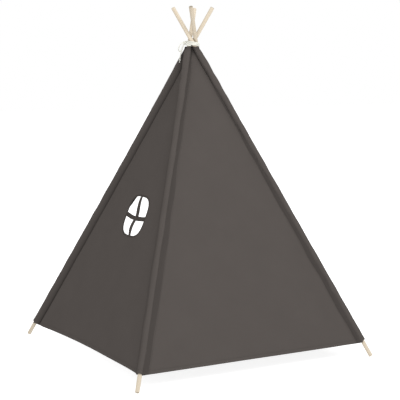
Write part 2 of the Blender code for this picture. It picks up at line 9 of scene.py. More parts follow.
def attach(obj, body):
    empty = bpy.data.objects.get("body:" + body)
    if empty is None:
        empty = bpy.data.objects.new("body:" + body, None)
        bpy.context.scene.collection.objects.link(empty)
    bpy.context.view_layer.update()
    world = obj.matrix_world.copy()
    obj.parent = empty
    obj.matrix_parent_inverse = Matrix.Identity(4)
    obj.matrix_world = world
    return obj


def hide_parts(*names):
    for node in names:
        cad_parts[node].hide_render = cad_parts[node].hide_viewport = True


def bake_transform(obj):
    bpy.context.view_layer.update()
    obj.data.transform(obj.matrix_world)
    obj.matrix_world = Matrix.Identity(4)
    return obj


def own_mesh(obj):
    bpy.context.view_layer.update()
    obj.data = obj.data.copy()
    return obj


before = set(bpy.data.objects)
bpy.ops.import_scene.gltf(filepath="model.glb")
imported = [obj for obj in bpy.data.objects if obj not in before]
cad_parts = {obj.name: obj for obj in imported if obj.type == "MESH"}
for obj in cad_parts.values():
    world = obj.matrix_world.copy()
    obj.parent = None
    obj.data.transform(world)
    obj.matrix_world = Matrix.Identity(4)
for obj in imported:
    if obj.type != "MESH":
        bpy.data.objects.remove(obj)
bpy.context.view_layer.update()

# ------------------------------------------------------------------ camera
EYE = Vector((2.5134, 4.4431, 1.2632))
LOOK = Vector((-0.49475, -0.86161, -0.11335))
cam_data = bpy.data.cameras.new("camera")
cam_data.lens = 100.56
cam_data.sensor_width = 36.0
cam_data.clip_end = 200.0
camera = bpy.data.objects.new("camera", cam_data)
bpy.context.scene.collection.objects.link(camera)
camera.location = EYE
camera.rotation_mode = "QUATERNION"
camera.rotation_quaternion = LOOK.to_track_quat("-Z", "Y")
bpy.context.scene.camera = camera
bpy.context.scene.view_settings.view_transform = "Standard"

# ------------------------------------------------------------------ the frame's lines, as in the CAD
BASE_HALF, CROSS_HEIGHT, CROSS_TWIST = 0.5844, 1.4005, 0.0142
POLE_RADIUS, POLE_CHAMFER = 0.009, 0.0015
POCKET_OUTER, PANEL_INSET = 0.0132, 0.0050
HEM, DOOR_APEX, DOOR_ANGLE = 0.064, 0.997, math.radians(27.5)
DOOR_BAND, DOOR_HEM, DOOR_TIE_HEIGHT = 0.038, 0.0115, 0.230
WINDOW_CENTRE, WINDOW_HALF, WINDOW_POWER = (0.055, 0.6845), (0.0910, 0.0905), 3.2

LEAN = math.hypot(BASE_HALF * math.sqrt(2), CROSS_HEIGHT)
FOOT_LIFT = (POLE_RADIUS - POLE_CHAMFER) * BASE_HALF * math.sqrt(2) / LEAN
CROSSING = np.array([0.0, 0.0, CROSS_HEIGHT + FOOT_LIFT])
CORNERS = {"back_right": (1, 1), "back_left": (-1, 1), "front_left": (-1, -1), "front_right": (1, -1)}
PANELS = {"window": ("front_right", "back_right"), "back": ("back_right", "back_left"),
          "plain": ("back_left", "front_left"), "front": ("front_left", "front_right")}


def unit(v):
    v = np.asarray(v, float)
    return v / np.linalg.norm(v)


def pole_line(corner):
    sx, sy = CORNERS[corner]
    foot = np.array([sx * BASE_HALF, sy * BASE_HALF, FOOT_LIFT])
    out = unit((sx, sy, 0.0))
    beside = CROSSING + CROSS_TWIST * np.array([out[1], -out[0], 0.0])
    way = foot - beside
    return beside, unit(way), float(np.linalg.norm(way))


LINES = {c: pole_line(c) for c in CORNERS}
REACH = LINES["back_right"][2]
SLOPE = math.hypot(BASE_HALF, CROSS_HEIGHT)
HALF_FAN = math.atan2(BASE_HALF, SLOPE)
COS_FAN = math.cos(HALF_FAN)


def on_pole(corner, r):
    p, d, _ = LINES[corner]
    return p + d * r


def panel_normal(panel):
    a, b = PANELS[panel]
    n = unit(np.cross(LINES[a][1], LINES[b][1]))
    m = CORNERS[a][0] + CORNERS[b][0], CORNERS[a][1] + CORNERS[b][1]
    return n if n[0] * m[0] + n[1] * m[1] > 0 else -n


NORMALS = {p: panel_normal(p) for p in PANELS}


def panel_map(panel, across, up, off=0.0):
    """Points of a panel, for arrays: across from its middle, up its slope, out from the poles' plane."""
    across, up, off = np.broadcast_arrays(*(np.asarray(q, float) for q in (across, up, off)))
    left, right = PANELS[panel]
    r = (REACH * (1.0 - up / SLOPE))[..., None]
    pa = LINES[left][0] + LINES[left][1] * r
    pb = LINES[right][0] + LINES[right][1] * r
    way = pb - pa
    way = way / np.linalg.norm(way, axis=-1, keepdims=True)
    return (pa + pb) / 2 + way * across[..., None] + NORMALS[panel] * off[..., None]


def half_width(up):
    """Half the distance between neighbouring poles' axes at a height up the slope."""
    r = REACH * (1.0 - np.asarray(up, float) / SLOPE)
    a = LINES["back_right"][0] + LINES["back_right"][1] * r[..., None]
    b = LINES["back_left"][0] + LINES["back_left"][1] * r[..., None]
    return np.linalg.norm(b - a, axis=-1) / 2


def up_of(r):
    return SLOPE * (1.0 - r / REACH)


def seam_distance(panel, up, side=0):
    """Pocket seam from the pole's axis."""
    r = REACH * (1.0 - np.asarray(up, float) / SLOPE)
    near = np.clip((r - 0.045) / 0.105, 0, 1)
    far = np.clip((r - 0.15) / 0.95, 0, 1)
    wide, high = {("back", 1): (0.0286, 0.0180), ("window", -1): (0.0428, 0.0368)}.get(
        (panel, side), (0.0250, 0.0250) if panel == "front" else (0.0380, 0.0270))
    return 0.0150 + (high - 0.0150) * near + (wide - high) * far


# ------------------------------------------------------------------ smooth irregularity
def waves(x, y, seed, f=1.0, n=7):
    rng = np.random.default_rng(seed)
    out = 0.0
    for _ in range(n):
        a, k, p = rng.uniform(0, 2 * math.pi), f * rng.uniform(0.55, 1.6), rng.uniform(0, 2 * math.pi)
        out = out + np.sin(2 * math.pi * k * (x * math.cos(a) + y * math.sin(a)) + p)
    return out / math.sqrt(n / 2)


def ease(x):
    x = np.clip(x, 0.0, 1.0)
    return x * x * (3 - 2 * x)


# ------------------------------------------------------------------ mesh building
class Build:
    """Collects grids of quads with a metric weave map and a second map, named seam, that carries painted shade
    multiplied into the colour.
    """

    def __init__(self):
        self.v, self.f, self.uv, self.sh, self.mat = [], [], [], [], []
        self.n = 0

    def points(self, P, U, V, S):
        P = np.asarray(P, float).reshape(-1, 3)
        base = self.n
        self.v.append(P)
        self.n += len(P)
        uv = np.stack([np.broadcast_to(U, S.shape).ravel(), np.broadcast_to(V, S.shape).ravel()], 1)
        self.uv.append(uv)
        self.sh.append(np.asarray(S, float).ravel())
        return base

    def quads(self, q, mat=0):
        q = np.asarray(q, int).reshape(-1, 4)
        self.f.append(q)
        self.mat.append(np.full(len(q), mat))

    def sheet(self, P, N, thick, U, V, S=None, mat=0):
        """A closed sheet round the middle surface P (rows, columns, 3), N its outer side."""
        P = np.asarray(P, float)
        N = np.broadcast_to(np.asarray(N, float), P.shape)
        r, c = P.shape[:2]
        S = np.ones((r, c)) if S is None else np.broadcast_to(S, (r, c))
        U, V = np.broadcast_to(U, (r, c)), np.broadcast_to(V, (r, c))
        t = np.broadcast_to(np.asarray(thick, float), (r, c))[..., None]
        a = self.points(P + N * t / 2, U, V, S)
        b = self.points(P - N * t / 2, U, V, S)
        idx = np.arange(r * c).reshape(r, c)
        q = np.stack([idx[:-1, :-1], idx[:-1, 1:], idx[1:, 1:], idx[1:, :-1]], -1).reshape(-1, 4)
        flat = P.reshape(-1, 3)
        cr = np.cross(flat[q[:, 1]] - flat[q[:, 0]], flat[q[:, 3]] - flat[q[:, 0]])
        turn = float((cr * N.reshape(-1, 3)[q[:, 0]]).sum()) < 0
        outer, inner = (q[:, ::-1], q) if turn else (q, q[:, ::-1])
        self.quads(a + outer, mat)
        self.quads(b + inner, mat)
        ring = np.r_[idx[0, :-1], idx[:-1, -1], idx[-1, :0:-1], idx[:0:-1, 0]]
        nxt = np.roll(ring, -1)
        rim = np.stack([a + ring, b + ring, b + nxt, a + nxt], 1)
        self.quads(rim[:, ::-1] if turn else rim, mat)

    def tube(self, P, U, V, S=None, mat=0, caps=True):
        """A solid tube through rings P (rings, points, 3)."""
        P = np.asarray(P, float)
        r, c = P.shape[:2]
        S = np.ones((r, c)) if S is None else np.broadcast_to(S, (r, c))
        U, V = np.broadcast_to(U, (r, c)), np.broadcast_to(V, (r, c))
        a = self.points(P, U, V, S)
        idx = a + np.arange(r * c).reshape(r, c)
        nx = np.roll(idx, -1, 1)
        q = np.stack([idx[:-1], nx[:-1], nx[1:], idx[1:]], -1).reshape(-1, 4)
        centre = P.mean(1)
        k = r // 2
        out = np.cross(P[k, 1] - P[k, 0], P[min(k + 1, r - 1), 0] - P[k, 0])
        if float(out @ (P[k, 0] - centre[k])) < 0:
            q = q[:, ::-1]
        self.quads(q, mat)
        if caps:
            for row in (0, r - 1):
                m = self.points(P[row].mean(0)[None], U[row, 0], V[row, 0], S[row, :1])
                way = centre[row] - centre[1 if row == 0 else r - 2]
                ring = idx[row]
                area = np.cross(P[row] - centre[row], np.roll(P[row], -1, 0) - centre[row]).sum(0)
                order = (ring, np.roll(ring, -1)) if float(area @ way) > 0 else (np.roll(ring, -1), ring)
                for i in range(0, c, 2):
                    j = (i + 1) % c
                    if order[0] is ring:
                        self.quads([[m, idx[row, i], idx[row, j], idx[row, (j + 1) % c]]], mat)
                    else:
                        self.quads([[m, idx[row, (j + 1) % c], idx[row, j], idx[row, i]]], mat)

    def shell(self, outer, inner, U, V, S=None, mat=0):
        """A tube with a wall, open at both ends."""
        r, c = outer.shape[:2]
        S = np.ones((r, c)) if S is None else np.broadcast_to(S, (r, c))
        U, V = np.broadcast_to(U, (r, c)), np.broadcast_to(V, (r, c))
        a, b = self.points(outer, U, V, S), self.points(inner, U, V, S)
        idx = np.arange(r * c).reshape(r, c)
        nx = np.roll(idx, -1, 1)
        q = np.stack([idx[:-1], nx[:-1], nx[1:], idx[1:]], -1).reshape(-1, 4)
        k = r // 2
        out = np.cross(outer[k, 1] - outer[k, 0], outer[k + 1, 0] - outer[k, 0])
        turn = float(out @ (outer[k, 0] - inner[k, 0])) < 0
        self.quads(a + (q[:, ::-1] if turn else q), mat)
        self.quads(b + (q if turn else q[:, ::-1]), mat)
        for row in (0, r - 1):
            e = np.stack([a + idx[row], a + nx[row], b + nx[row], b + idx[row]], 1)
            flip = (row == 0) != turn
            self.quads(e[:, ::-1] if flip else e, mat)

    def stitches(self, path, normals, pitch=0.0036, length=0.0026, width=0.0008, height=0.00045, mat=1, lift=0.0):
        """A row of thread stitches along a path, lying on the cloth."""
        path = np.asarray(path, float)
        normals = np.broadcast_to(np.asarray(normals, float), path.shape)
        s = np.r_[0, np.cumsum(np.linalg.norm(np.diff(path, axis=0), axis=1))]
        if s[-1] < 3 * pitch:
            return
        at = np.arange(pitch, s[-1] - pitch / 2, pitch)
        c = np.stack([np.interp(at, s, path[:, k]) for k in range(3)], 1)
        n = np.stack([np.interp(at, s, normals[:, k]) for k in range(3)], 1)
        f = np.stack([np.interp(at + 0.0005, s, path[:, k]) for k in range(3)], 1) - \
            np.stack([np.interp(at - 0.0005, s, path[:, k]) for k in range(3)], 1)
        f /= np.linalg.norm(f, axis=1, keepdims=True)
        n /= np.linalg.norm(n, axis=1, keepdims=True)
        side = np.cross(n, f)
        c = c + n * lift
        a, b = length / 2, width / 2
        pts = []
        for z, k, w in ((-0.0002, 1.0, 1.0), (height, 0.62, 0.55)):
            for x, y in ((-1, -1), (1, -1), (1, 1), (-1, 1)):
                pts.append(c + f * (x * a * k) + side * (y * b * w) + n * z)
        P = np.stack(pts, 1)
        m = len(at)
        base = self.points(P.reshape(-1, 3), np.zeros(m * 8), np.zeros(m * 8), np.ones(m * 8))
        o = base + np.arange(m)[:, None] * 8
        for q in ((3, 2, 1, 0), (4, 5, 6, 7), (0, 1, 5, 4), (1, 2, 6, 5), (2, 3, 7, 6), (3, 0, 4, 7)):
            self.quads(o + np.array(q), mat)

    def object(self, name, mats, smooth=50.0):
        v, f = np.concatenate(self.v), np.concatenate(self.f)
        me = bpy.data.meshes.new(name)
        me.vertices.add(len(v))
        me.vertices.foreach_set("co", v.astype(np.float32).ravel())
        me.loops.add(f.size)
        me.loops.foreach_set("vertex_index", f.ravel().astype(np.int32))
        me.polygons.add(len(f))
        me.polygons.foreach_set("loop_start", np.arange(0, f.size, 4, dtype=np.int32))
        me.polygons.foreach_set("loop_total", np.full(len(f), 4, np.int32))
        me.update(calc_edges=True)
        me.polygons.foreach_set("material_index", np.concatenate(self.mat).astype(np.int32))
        uv, sh = np.concatenate(self.uv), np.concatenate(self.sh)
        me.uv_layers.new(name="weave").data.foreach_set("uv", uv[f.ravel()].astype(np.float32).ravel())
        # the seam map's first value is painted shade, which the materials multiply into the base colour
        two = np.stack([sh, sh], 1)[f.ravel()]
        me.uv_layers.new(name="seam").data.foreach_set("uv", two.astype(np.float32).ravel())
        me.validate()
        for m in mats:
            me.materials.append(m)
        me.shade_smooth()
        me.set_sharp_from_angle(angle=math.radians(smooth))
        o = bpy.data.objects.new(name, me)
        bpy.context.scene.collection.objects.link(o)
        return o


def strand_tube(build, route, radius, twist, strands=3, sides=18, lobe=0.22, mat=0, taper=0.0):
    """A laid rope along a route: its strands wind round its middle."""
    route = np.asarray(route, float)
    s = np.r_[0, np.cumsum(np.linalg.norm(np.diff(route, axis=0), axis=1))]
    n = max(8, int(s[-1] / (radius * 0.42)))
    at = np.linspace(0, s[-1], n)
    line = np.stack([np.interp(at, s, route[:, k]) for k in range(3)], 1)
    for _ in range(2):
        line[1:-1] = (line[:-2] + 2 * line[1:-1] + line[2:]) / 4
    t = np.gradient(line, axis=0)
    t /= np.linalg.norm(t, axis=1, keepdims=True)
    side = np.zeros_like(line)
    side[0] = unit(np.cross(t[0], (0.3, 0.2, 1.0)))
    for i in range(1, n):
        w = side[i - 1] - t[i] * (side[i - 1] @ t[i])
        side[i] = unit(w)
    up = np.cross(t, side)
    a = np.linspace(0, 2 * math.pi, sides, endpoint=False)[None]
    turn = (at / twist * 2 * math.pi)[:, None]
    k = np.abs(np.cos(strands / 2 * (a - turn)))
    rad = radius * (1 - lobe + lobe * k ** 0.7 + 0.015 * np.sin(at[:, None] * 700 + a * 3))
    if taper:
        rad = rad * (1 - taper * (np.abs(np.linspace(-1, 1, n)) ** 12)[:, None])
    P = line[:, None] + rad[..., None] * (np.cos(a)[..., None] * side[:, None] + np.sin(a)[..., None] * up[:, None])
    U = a * radius + at[:, None] * 0.0
    # painted shade: darker in the grooves between the strands
    build.tube(P, U, at[:, None] + a * 0, k * 0.20 + 0.80, mat)
    return line


# ------------------------------------------------------------------ materials
def base_material(name, colour, rough):
    m = bpy.data.materials.new(name)
    m.use_nodes = True
    nt = m.node_tree
    b = nt.nodes["Principled BSDF"]
    b.inputs["Base Color"].default_value = (*colour, 1)
    b.inputs["Roughness"].default_value = rough
    m.diffuse_color = (*colour, 1)
    return m, nt, b


def node(nt, kind, **sets):
    n = nt.nodes.new(kind)
    for k, v in sets.items():
        if k in n.inputs:
            n.inputs[k].default_value = v
        else:
            setattr(n, k, v)
    return n


def math_node(nt, op, a, b=None, clamp=False):
    n = nt.nodes.new("ShaderNodeMath")
    n.operation, n.use_clamp = op, clamp
    for i, q in enumerate((a, b)):
        if q is None:
            continue
        if isinstance(q, (int, float)):
            n.inputs[i].default_value = q
        else:
            nt.links.new(q, n.inputs[i])
    return n.outputs[0]


def cloth_material(name, colour, thread=0.00085, sheen=0.0, mottle=0.06, bump=0.35, rough=0.9):
    """Plain-woven, lightly brushed cloth. The weave map is in metres; the seam map brings painted shade into the
    colour, darkest in the valleys beside seams.
    """
    m, nt, b = base_material(name, colour, rough)
    uv = node(nt, "ShaderNodeUVMap", uv_map="weave")
    sep = node(nt, "ShaderNodeSeparateXYZ")
    nt.links.new(uv.outputs[0], sep.inputs[0])
    warp = math_node(nt, "SINE", math_node(nt, "MULTIPLY", sep.outputs[0], 2 * math.pi / thread))
    weft = math_node(nt, "SINE", math_node(nt, "MULTIPLY", sep.outputs[1], 2 * math.pi / thread))
    cross = math_node(nt, "MULTIPLY", warp, weft)
    slub = node(nt, "ShaderNodeTexNoise", Scale=900.0, Detail=2.0)
    stretch = node(nt, "ShaderNodeMapping")
    stretch.inputs["Scale"].default_value = (1.0, 0.12, 1.0)
    nt.links.new(uv.outputs[0], stretch.inputs[0])
    nt.links.new(stretch.outputs[0], slub.inputs["Vector"])
    height = math_node(nt, "ADD", math_node(nt, "MULTIPLY", cross, 0.5), slub.outputs[0])
    bp = node(nt, "ShaderNodeBump", Strength=bump, Distance=0.00018)
    nt.links.new(height, bp.inputs["Height"])
    # crumple too fine for the mesh
    crease = node(nt, "ShaderNodeTexNoise", Scale=22.0, Detail=4.0, Roughness=0.55, Distortion=0.4)
    nt.links.new(uv.outputs[0], crease.inputs["Vector"])
    bp2 = node(nt, "ShaderNodeBump", Strength=0.30, Distance=0.0011)
    nt.links.new(crease.outputs[0], bp2.inputs["Height"])
    nt.links.new(bp.outputs[0], bp2.inputs["Normal"])
    nt.links.new(bp2.outputs[0], b.inputs["Normal"])
    # colour: broad mottling, thread to thread differences, and painted shade from the seam map in the seam valleys
    broad = node(nt, "ShaderNodeTexNoise", Scale=7.0, Detail=3.0, Roughness=0.6)
    nt.links.new(uv.outputs[0], broad.inputs["Vector"])
    fine = node(nt, "ShaderNodeTexNoise", Scale=1500.0, Detail=1.0)
    nt.links.new(stretch.outputs[0], fine.inputs["Vector"])
    v = math_node(nt, "ADD", math_node(nt, "MULTIPLY", math_node(nt, "SUBTRACT", broad.outputs[0], 0.5), mottle * 2),
                  math_node(nt, "MULTIPLY", math_node(nt, "SUBTRACT", fine.outputs[0], 0.5), 0.16))
    v = math_node(nt, "ADD", v, math_node(nt, "MULTIPLY", cross, 0.05))
    v = math_node(nt, "ADD", v, 1.0)
    shade = node(nt, "ShaderNodeUVMap", uv_map="seam")
    ssep = node(nt, "ShaderNodeSeparateXYZ")
    nt.links.new(shade.outputs[0], ssep.inputs[0])
    v = math_node(nt, "MULTIPLY", v, ssep.outputs[0])
    mix = node(nt, "ShaderNodeVectorMath", operation="SCALE")
    mix.inputs[0].default_value = colour
    nt.links.new(v, mix.inputs["Scale"])
    nt.links.new(mix.outputs[0], b.inputs["Base Color"])
    b.inputs["Sheen Weight"].default_value = sheen
    b.inputs["Sheen Roughness"].default_value = 0.45
    b.inputs["Sheen Tint"].default_value = (0.9, 0.86, 0.82, 1)
    b.inputs["Specular IOR Level"].default_value = 0.0
    return m


def rope_material(name, colour):
    m, nt, b = base_material(name, colour, 0.9)
    uv = node(nt, "ShaderNodeUVMap", uv_map="weave")
    mp = node(nt, "ShaderNodeMapping")
    mp.inputs["Rotation"].default_value = (0, 0, 0.6)
    mp.inputs["Scale"].default_value = (1.0, 0.12, 1.0)
    nt.links.new(uv.outputs[0], mp.inputs[0])
    fib = node(nt, "ShaderNodeTexNoise", Scale=2600.0, Detail=3.0, Roughness=0.6)
    nt.links.new(mp.outputs[0], fib.inputs["Vector"])
    bp = node(nt, "ShaderNodeBump", Strength=0.6, Distance=0.0003)
    nt.links.new(fib.outputs[0], bp.inputs["Height"])
    nt.links.new(bp.outputs[0], b.inputs["Normal"])
    # painted shade from the seam map: darker between the rope's strands
    shade = node(nt, "ShaderNodeUVMap", uv_map="seam")
    ss = node(nt, "ShaderNodeSeparateXYZ")
    nt.links.new(shade.outputs[0], ss.inputs[0])
    v = math_node(nt, "ADD", math_node(nt, "MULTIPLY", math_node(nt, "SUBTRACT", fib.outputs[0], 0.5), 0.16), 1.0)
    v = math_node(nt, "MULTIPLY", v, ss.outputs[0])
    mix = node(nt, "ShaderNodeVectorMath", operation="SCALE")
    mix.inputs[0].default_value = colour
    nt.links.new(v, mix.inputs["Scale"])
    nt.links.new(mix.outputs[0], b.inputs["Base Color"])
    b.inputs["Sheen Weight"].default_value = 0.2
    b.inputs["Specular IOR Level"].default_value = 0.2
    return m


def pine_material(name, way, seed, shade=1.0):
    """Sanded pine; the grain runs along the pole."""
    light, dark = (0.585, 0.515, 0.415), (0.490, 0.405, 0.300)
    m, nt, b = base_material(name, light, 0.5)
    tc = node(nt, "ShaderNodeTexCoord")
    turn = Vector(way).to_track_quat("Z", "Y").inverted().to_euler()
    mp = node(nt, "ShaderNodeMapping")
    mp.inputs["Rotation"].default_value = turn
    mp.inputs["Location"].default_value = (seed * 0.37, seed * 0.11, seed * 0.73)
    nt.links.new(tc.outputs["Object"], mp.inputs[0])
    st = node(nt, "ShaderNodeMapping")
    st.inputs["Scale"].default_value = (1.0, 1.0, 0.035)
    nt.links.new(mp.outputs[0], st.inputs[0])
    rings = node(nt, "ShaderNodeTexNoise", Scale=170.0, Detail=3.0, Roughness=0.5, Distortion=0.6)
    nt.links.new(st.outputs[0], rings.inputs["Vector"])
    fine = node(nt, "ShaderNodeTexNoise", Scale=1400.0, Detail=2.0)
    nt.links.new(st.outputs[0], fine.inputs["Vector"])
    ramp = node(nt, "ShaderNodeValToRGB")
    ramp.color_ramp.elements[0].position = 0.36
    ramp.color_ramp.elements[0].color = (*light, 1)
    ramp.color_ramp.elements[1].position = 0.74
    ramp.color_ramp.elements[1].color = (*dark, 1)
    mid = ramp.color_ramp.elements.new(0.56)
    mid.color = (0.560, 0.487, 0.384, 1)
    nt.links.new(rings.outputs[0], ramp.inputs[0])
    # knots, a few to a pole
    kn = node(nt, "ShaderNodeTexVoronoi", Scale=11.0)
    ks = node(nt, "ShaderNodeMapping")
    ks.inputs["Scale"].default_value = (1.0, 1.0, 0.62)
    nt.links.new(mp.outputs[0], ks.inputs[0])
    nt.links.new(ks.outputs[0], kn.inputs["Vector"])
    kr = node(nt, "ShaderNodeMapRange")
    kr.inputs["From Min"].default_value = 0.035
    kr.inputs["From Max"].default_value = 0.085
    kr.inputs["To Min"].default_value = 0.75
    kr.inputs["To Max"].default_value = 0.0
    nt.links.new(kn.outputs["Distance"], kr.inputs["Value"])
    knot = node(nt, "ShaderNodeMix", data_type="RGBA")
    nt.links.new(kr.outputs[0], knot.inputs["Factor"])
    nt.links.new(ramp.outputs[0], knot.inputs["A"])
    knot.inputs["B"].default_value = (0.310, 0.195, 0.115, 1)
    for s in knot.inputs:
        if s.type == "RGBA" and s.name == "A" and not s.is_linked:
            nt.links.new(ramp.outputs[0], s)
        if s.type == "RGBA" and s.name == "B":
            s.default_value = (0.310, 0.195, 0.115, 1)
    tone = node(nt, "ShaderNodeVectorMath", operation="SCALE")
    out = [o for o in knot.outputs if o.type == "RGBA"][0]
    nt.links.new(out, tone.inputs[0])
    nt.links.new(math_node(nt, "ADD", math_node(nt, "MULTIPLY", fine.outputs[0], 0.12 * shade), 0.94 * shade), tone.inputs["Scale"])
    # end grain: the sawn faces drink more light than the sanded sides; the darkening is partly painted shade for the
    # shaded rims at the ends
    along = node(nt, "ShaderNodeVectorMath", operation="DOT_PRODUCT")
    nt.links.new(tc.outputs["Normal"], along.inputs[0])
    along.inputs[1].default_value = way
    sawn = node(nt, "ShaderNodeMapRange")
    sawn.inputs["From Min"].default_value = 0.45
    sawn.inputs["From Max"].default_value = 0.85
    sawn.inputs["To Min"].default_value = 1.0
    sawn.inputs["To Max"].default_value = 0.62
    nt.links.new(math_node(nt, "ABSOLUTE", along.outputs["Value"]), sawn.inputs["Value"])
    end = node(nt, "ShaderNodeVectorMath", operation="SCALE")
    nt.links.new(tone.outputs[0], end.inputs[0])
    nt.links.new(sawn.outputs[0], end.inputs["Scale"])
    nt.links.new(end.outputs[0], b.inputs["Base Color"])
    bp = node(nt, "ShaderNodeBump", Strength=0.25, Distance=0.0003)
    nt.links.new(rings.outputs[0], bp.inputs["Height"])
    nt.links.new(bp.outputs[0], b.inputs["Normal"])
    b.inputs["Specular IOR Level"].default_value = 0.0
    return m


def steel_material(name):
    m, nt, b = base_material(name, (0.55, 0.55, 0.54), 0.34)
    b.inputs["Metallic"].default_value = 1.0
    tc = node(nt, "ShaderNodeTexCoord")
    n = node(nt, "ShaderNodeTexNoise", Scale=160.0, Detail=4.0)
    nt.links.new(tc.outputs["Object"], n.inputs["Vector"])
    mr = node(nt, "ShaderNodeMapRange")
    mr.inputs["To Min"].default_value, mr.inputs["To Max"].default_value = 0.26, 0.46
    nt.links.new(n.outputs[0], mr.inputs["Value"])
    nt.links.new(mr.outputs[0], b.inputs["Roughness"])
    return m


CLOTH_COLOUR = (0.0673, 0.0592, 0.0547)
TAPE_COLOUR = (0.0526, 0.0460, 0.0421)
ROPE_COLOUR = (0.690, 0.685, 0.625)
cloth = cloth_material("canopy_cloth", CLOTH_COLOUR)
tape = cloth_material("binding_tape", TAPE_COLOUR, thread=0.0011, bump=0.6)
thread = cloth_material("sewing_thread", (0.059, 0.052, 0.047), thread=0.0004, bump=0.8)
rope = rope_material("cotton_rope", ROPE_COLOUR)
steel = steel_material("joining_tube_steel")
# each dowel, and apart from it its lower piece, is darkened by its own amount: partly the dowels' real differences in
# tint, partly painted shade for how much shade each one falls into
DOWEL_TINT_AND_SHADE = {"back_right": (0.95, 0.90), "back_left": (0.95, 0.88), "front_left": (0.84, 0.86), "front_right": (0.94, 0.82)}
PINE = {}
for i, c in enumerate(CORNERS):
    for part, share in zip(("", "_low"), DOWEL_TINT_AND_SHADE[c]):
        PINE[c + part] = pine_material(f"pine_{c}{part}", LINES[c][1], i + 1.0 + 0.37 * len(part), share)

for name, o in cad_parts.items():
    if name.startswith("pole_"):
        corner = name[len("pole_"):].rsplit("_", 1)[0]
        o.data.materials.clear()
        o.data.materials.append(PINE[corner + ("_low" if "lower" in o.name else "")])
    elif name.startswith("ferrule_"):
        o.data.materials.clear()
        o.data.materials.append(steel)


# ------------------------------------------------------------------ cords and lashing, first of all
def smooth_route(points, count):
    p = np.array(points, float)
    p = np.vstack([2 * p[0] - p[1], p, 2 * p[-1] - p[-2]])
    dense = []
    for i in range(1, len(p) - 2):
        for t in np.linspace(0, 1, 24, endpoint=False):
            a, b, c, d = p[i - 1], p[i], p[i + 1], p[i + 2]
            dense.append(0.5 * (2 * b + (c - a) * t + (2 * a - 5 * b + 4 * c - d) * t * t
                                + (3 * b - a - 3 * c + d) * t ** 3))
    dense.append(p[-2])
    dense = np.array(dense)
    s = np.r_[0, np.cumsum(np.linalg.norm(np.diff(dense, axis=0), axis=1))]
    at = np.linspace(0, s[-1], count)
    return np.stack([np.interp(at, s, dense[:, k]) for k in range(3)], 1)


ROPE_RADIUS, ROPE_TURNS, ROPE_PITCH, ROPE_TILT = 0.00275, 3.25, 0.0058, 0.12
KNOT_WAY = math.radians(-29.9)
ROPE_TOP = CROSSING[2] - 0.0034


def bundle_support(z, phi):
    n = np.array([math.cos(phi), math.sin(phi)])
    best = 0.0
    for c in CORNERS:
        p, d, _ = LINES[c]
        at = p + d * ((z - p[2]) / d[2])
        k = float(n @ unit(d[:2]))
        stretch = POLE_RADIUS / abs(d[2])
        best = max(best, float(at[:2] @ n) + math.sqrt((stretch * k) ** 2 + (POLE_RADIUS ** 2) * (1 - k * k)))
    return best


def bundle_radius(z, theta):
    return min(bundle_support(z, phi) / math.cos(theta - phi)
               for phi in np.radians(np.arange(-66, 67, 6.0)) + theta)


route = []
steps = int(ROPE_TURNS * 34)
for i in range(steps + 1):
    turn = ROPE_TURNS * i / steps
    theta = KNOT_WAY + 2 * math.pi * turn
    z = ROPE_TOP - ROPE_PITCH * turn + ROPE_TILT * 0.024 * math.cos(theta - KNOT_WAY)
    radius = max(bundle_radius(z - ROPE_RADIUS, theta), bundle_radius(z + ROPE_RADIUS, theta)) + ROPE_RADIUS + 0.0005
    route.append(np.array([radius * math.cos(theta), radius * math.sin(theta), z]))
route = np.array(route)
KNOT_OUT = np.array([math.cos(KNOT_WAY), math.sin(KNOT_WAY), 0.0])
KNOT_SIDE = np.array([-KNOT_OUT[1], KNOT_OUT[0], 0.0])
rope_out = max(float(p @ KNOT_OUT) for p in route)
KNOT = KNOT_OUT * (rope_out + ROPE_RADIUS + 0.0065 + 0.0003) + np.array([0.0, 0.0, CROSSING[2] - 0.0080])


def by_knot(out, side, down):
    return KNOT + KNOT_OUT * out + KNOT_SIDE * side - np.array([0.0, 0.0, down])


# the turns sit unevenly, as hand-wound rope does
turns = route.copy()
s = np.linspace(0, ROPE_TURNS * 2 * math.pi, len(route))
wobble = 0.00035 * np.sin(s * 2.3 + 0.4) + 0.00025 * np.sin(s * 5.1)
turns[:, 2] += wobble
# the lower end dives between two poles, the upper one comes out of the knot
wound = np.linspace(0, ROPE_TURNS, len(route))
kept = wound <= 3.215
turns = turns[kept]
turns[:, :2] *= (1 - 0.42 * ease((wound[kept] - 3.150) / 0.065))[:, None]
lead = smooth_route([KNOT, KNOT + np.array([0.0, 0.0, 0.0055]) - KNOT_SIDE * 0.0045 - KNOT_OUT * 0.0025, turns[1]], 10)
turns = np.vstack([lead[:-1], turns[1:]])
lay = Build()
strand_tube(lay, turns, ROPE_RADIUS * 1.06, 0.0125, lobe=0.12)
lashing = lay.object("lashing_rope_laid", [rope], 80)
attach(lashing, "frame")
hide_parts("lashing_rope")


def trefoil(centre, ex, ey, ez, n=150):
    t = np.linspace(0, 2 * math.pi, n, endpoint=False)
    x = (np.sin(t) + 2 * np.sin(2 * t)) / 3
    y = (np.cos(t) - 2 * np.cos(2 * t)) / 3
    z = -np.sin(3 * t)
    return centre + x[:, None] * ex + y[:, None] * ey + z[:, None] * ez


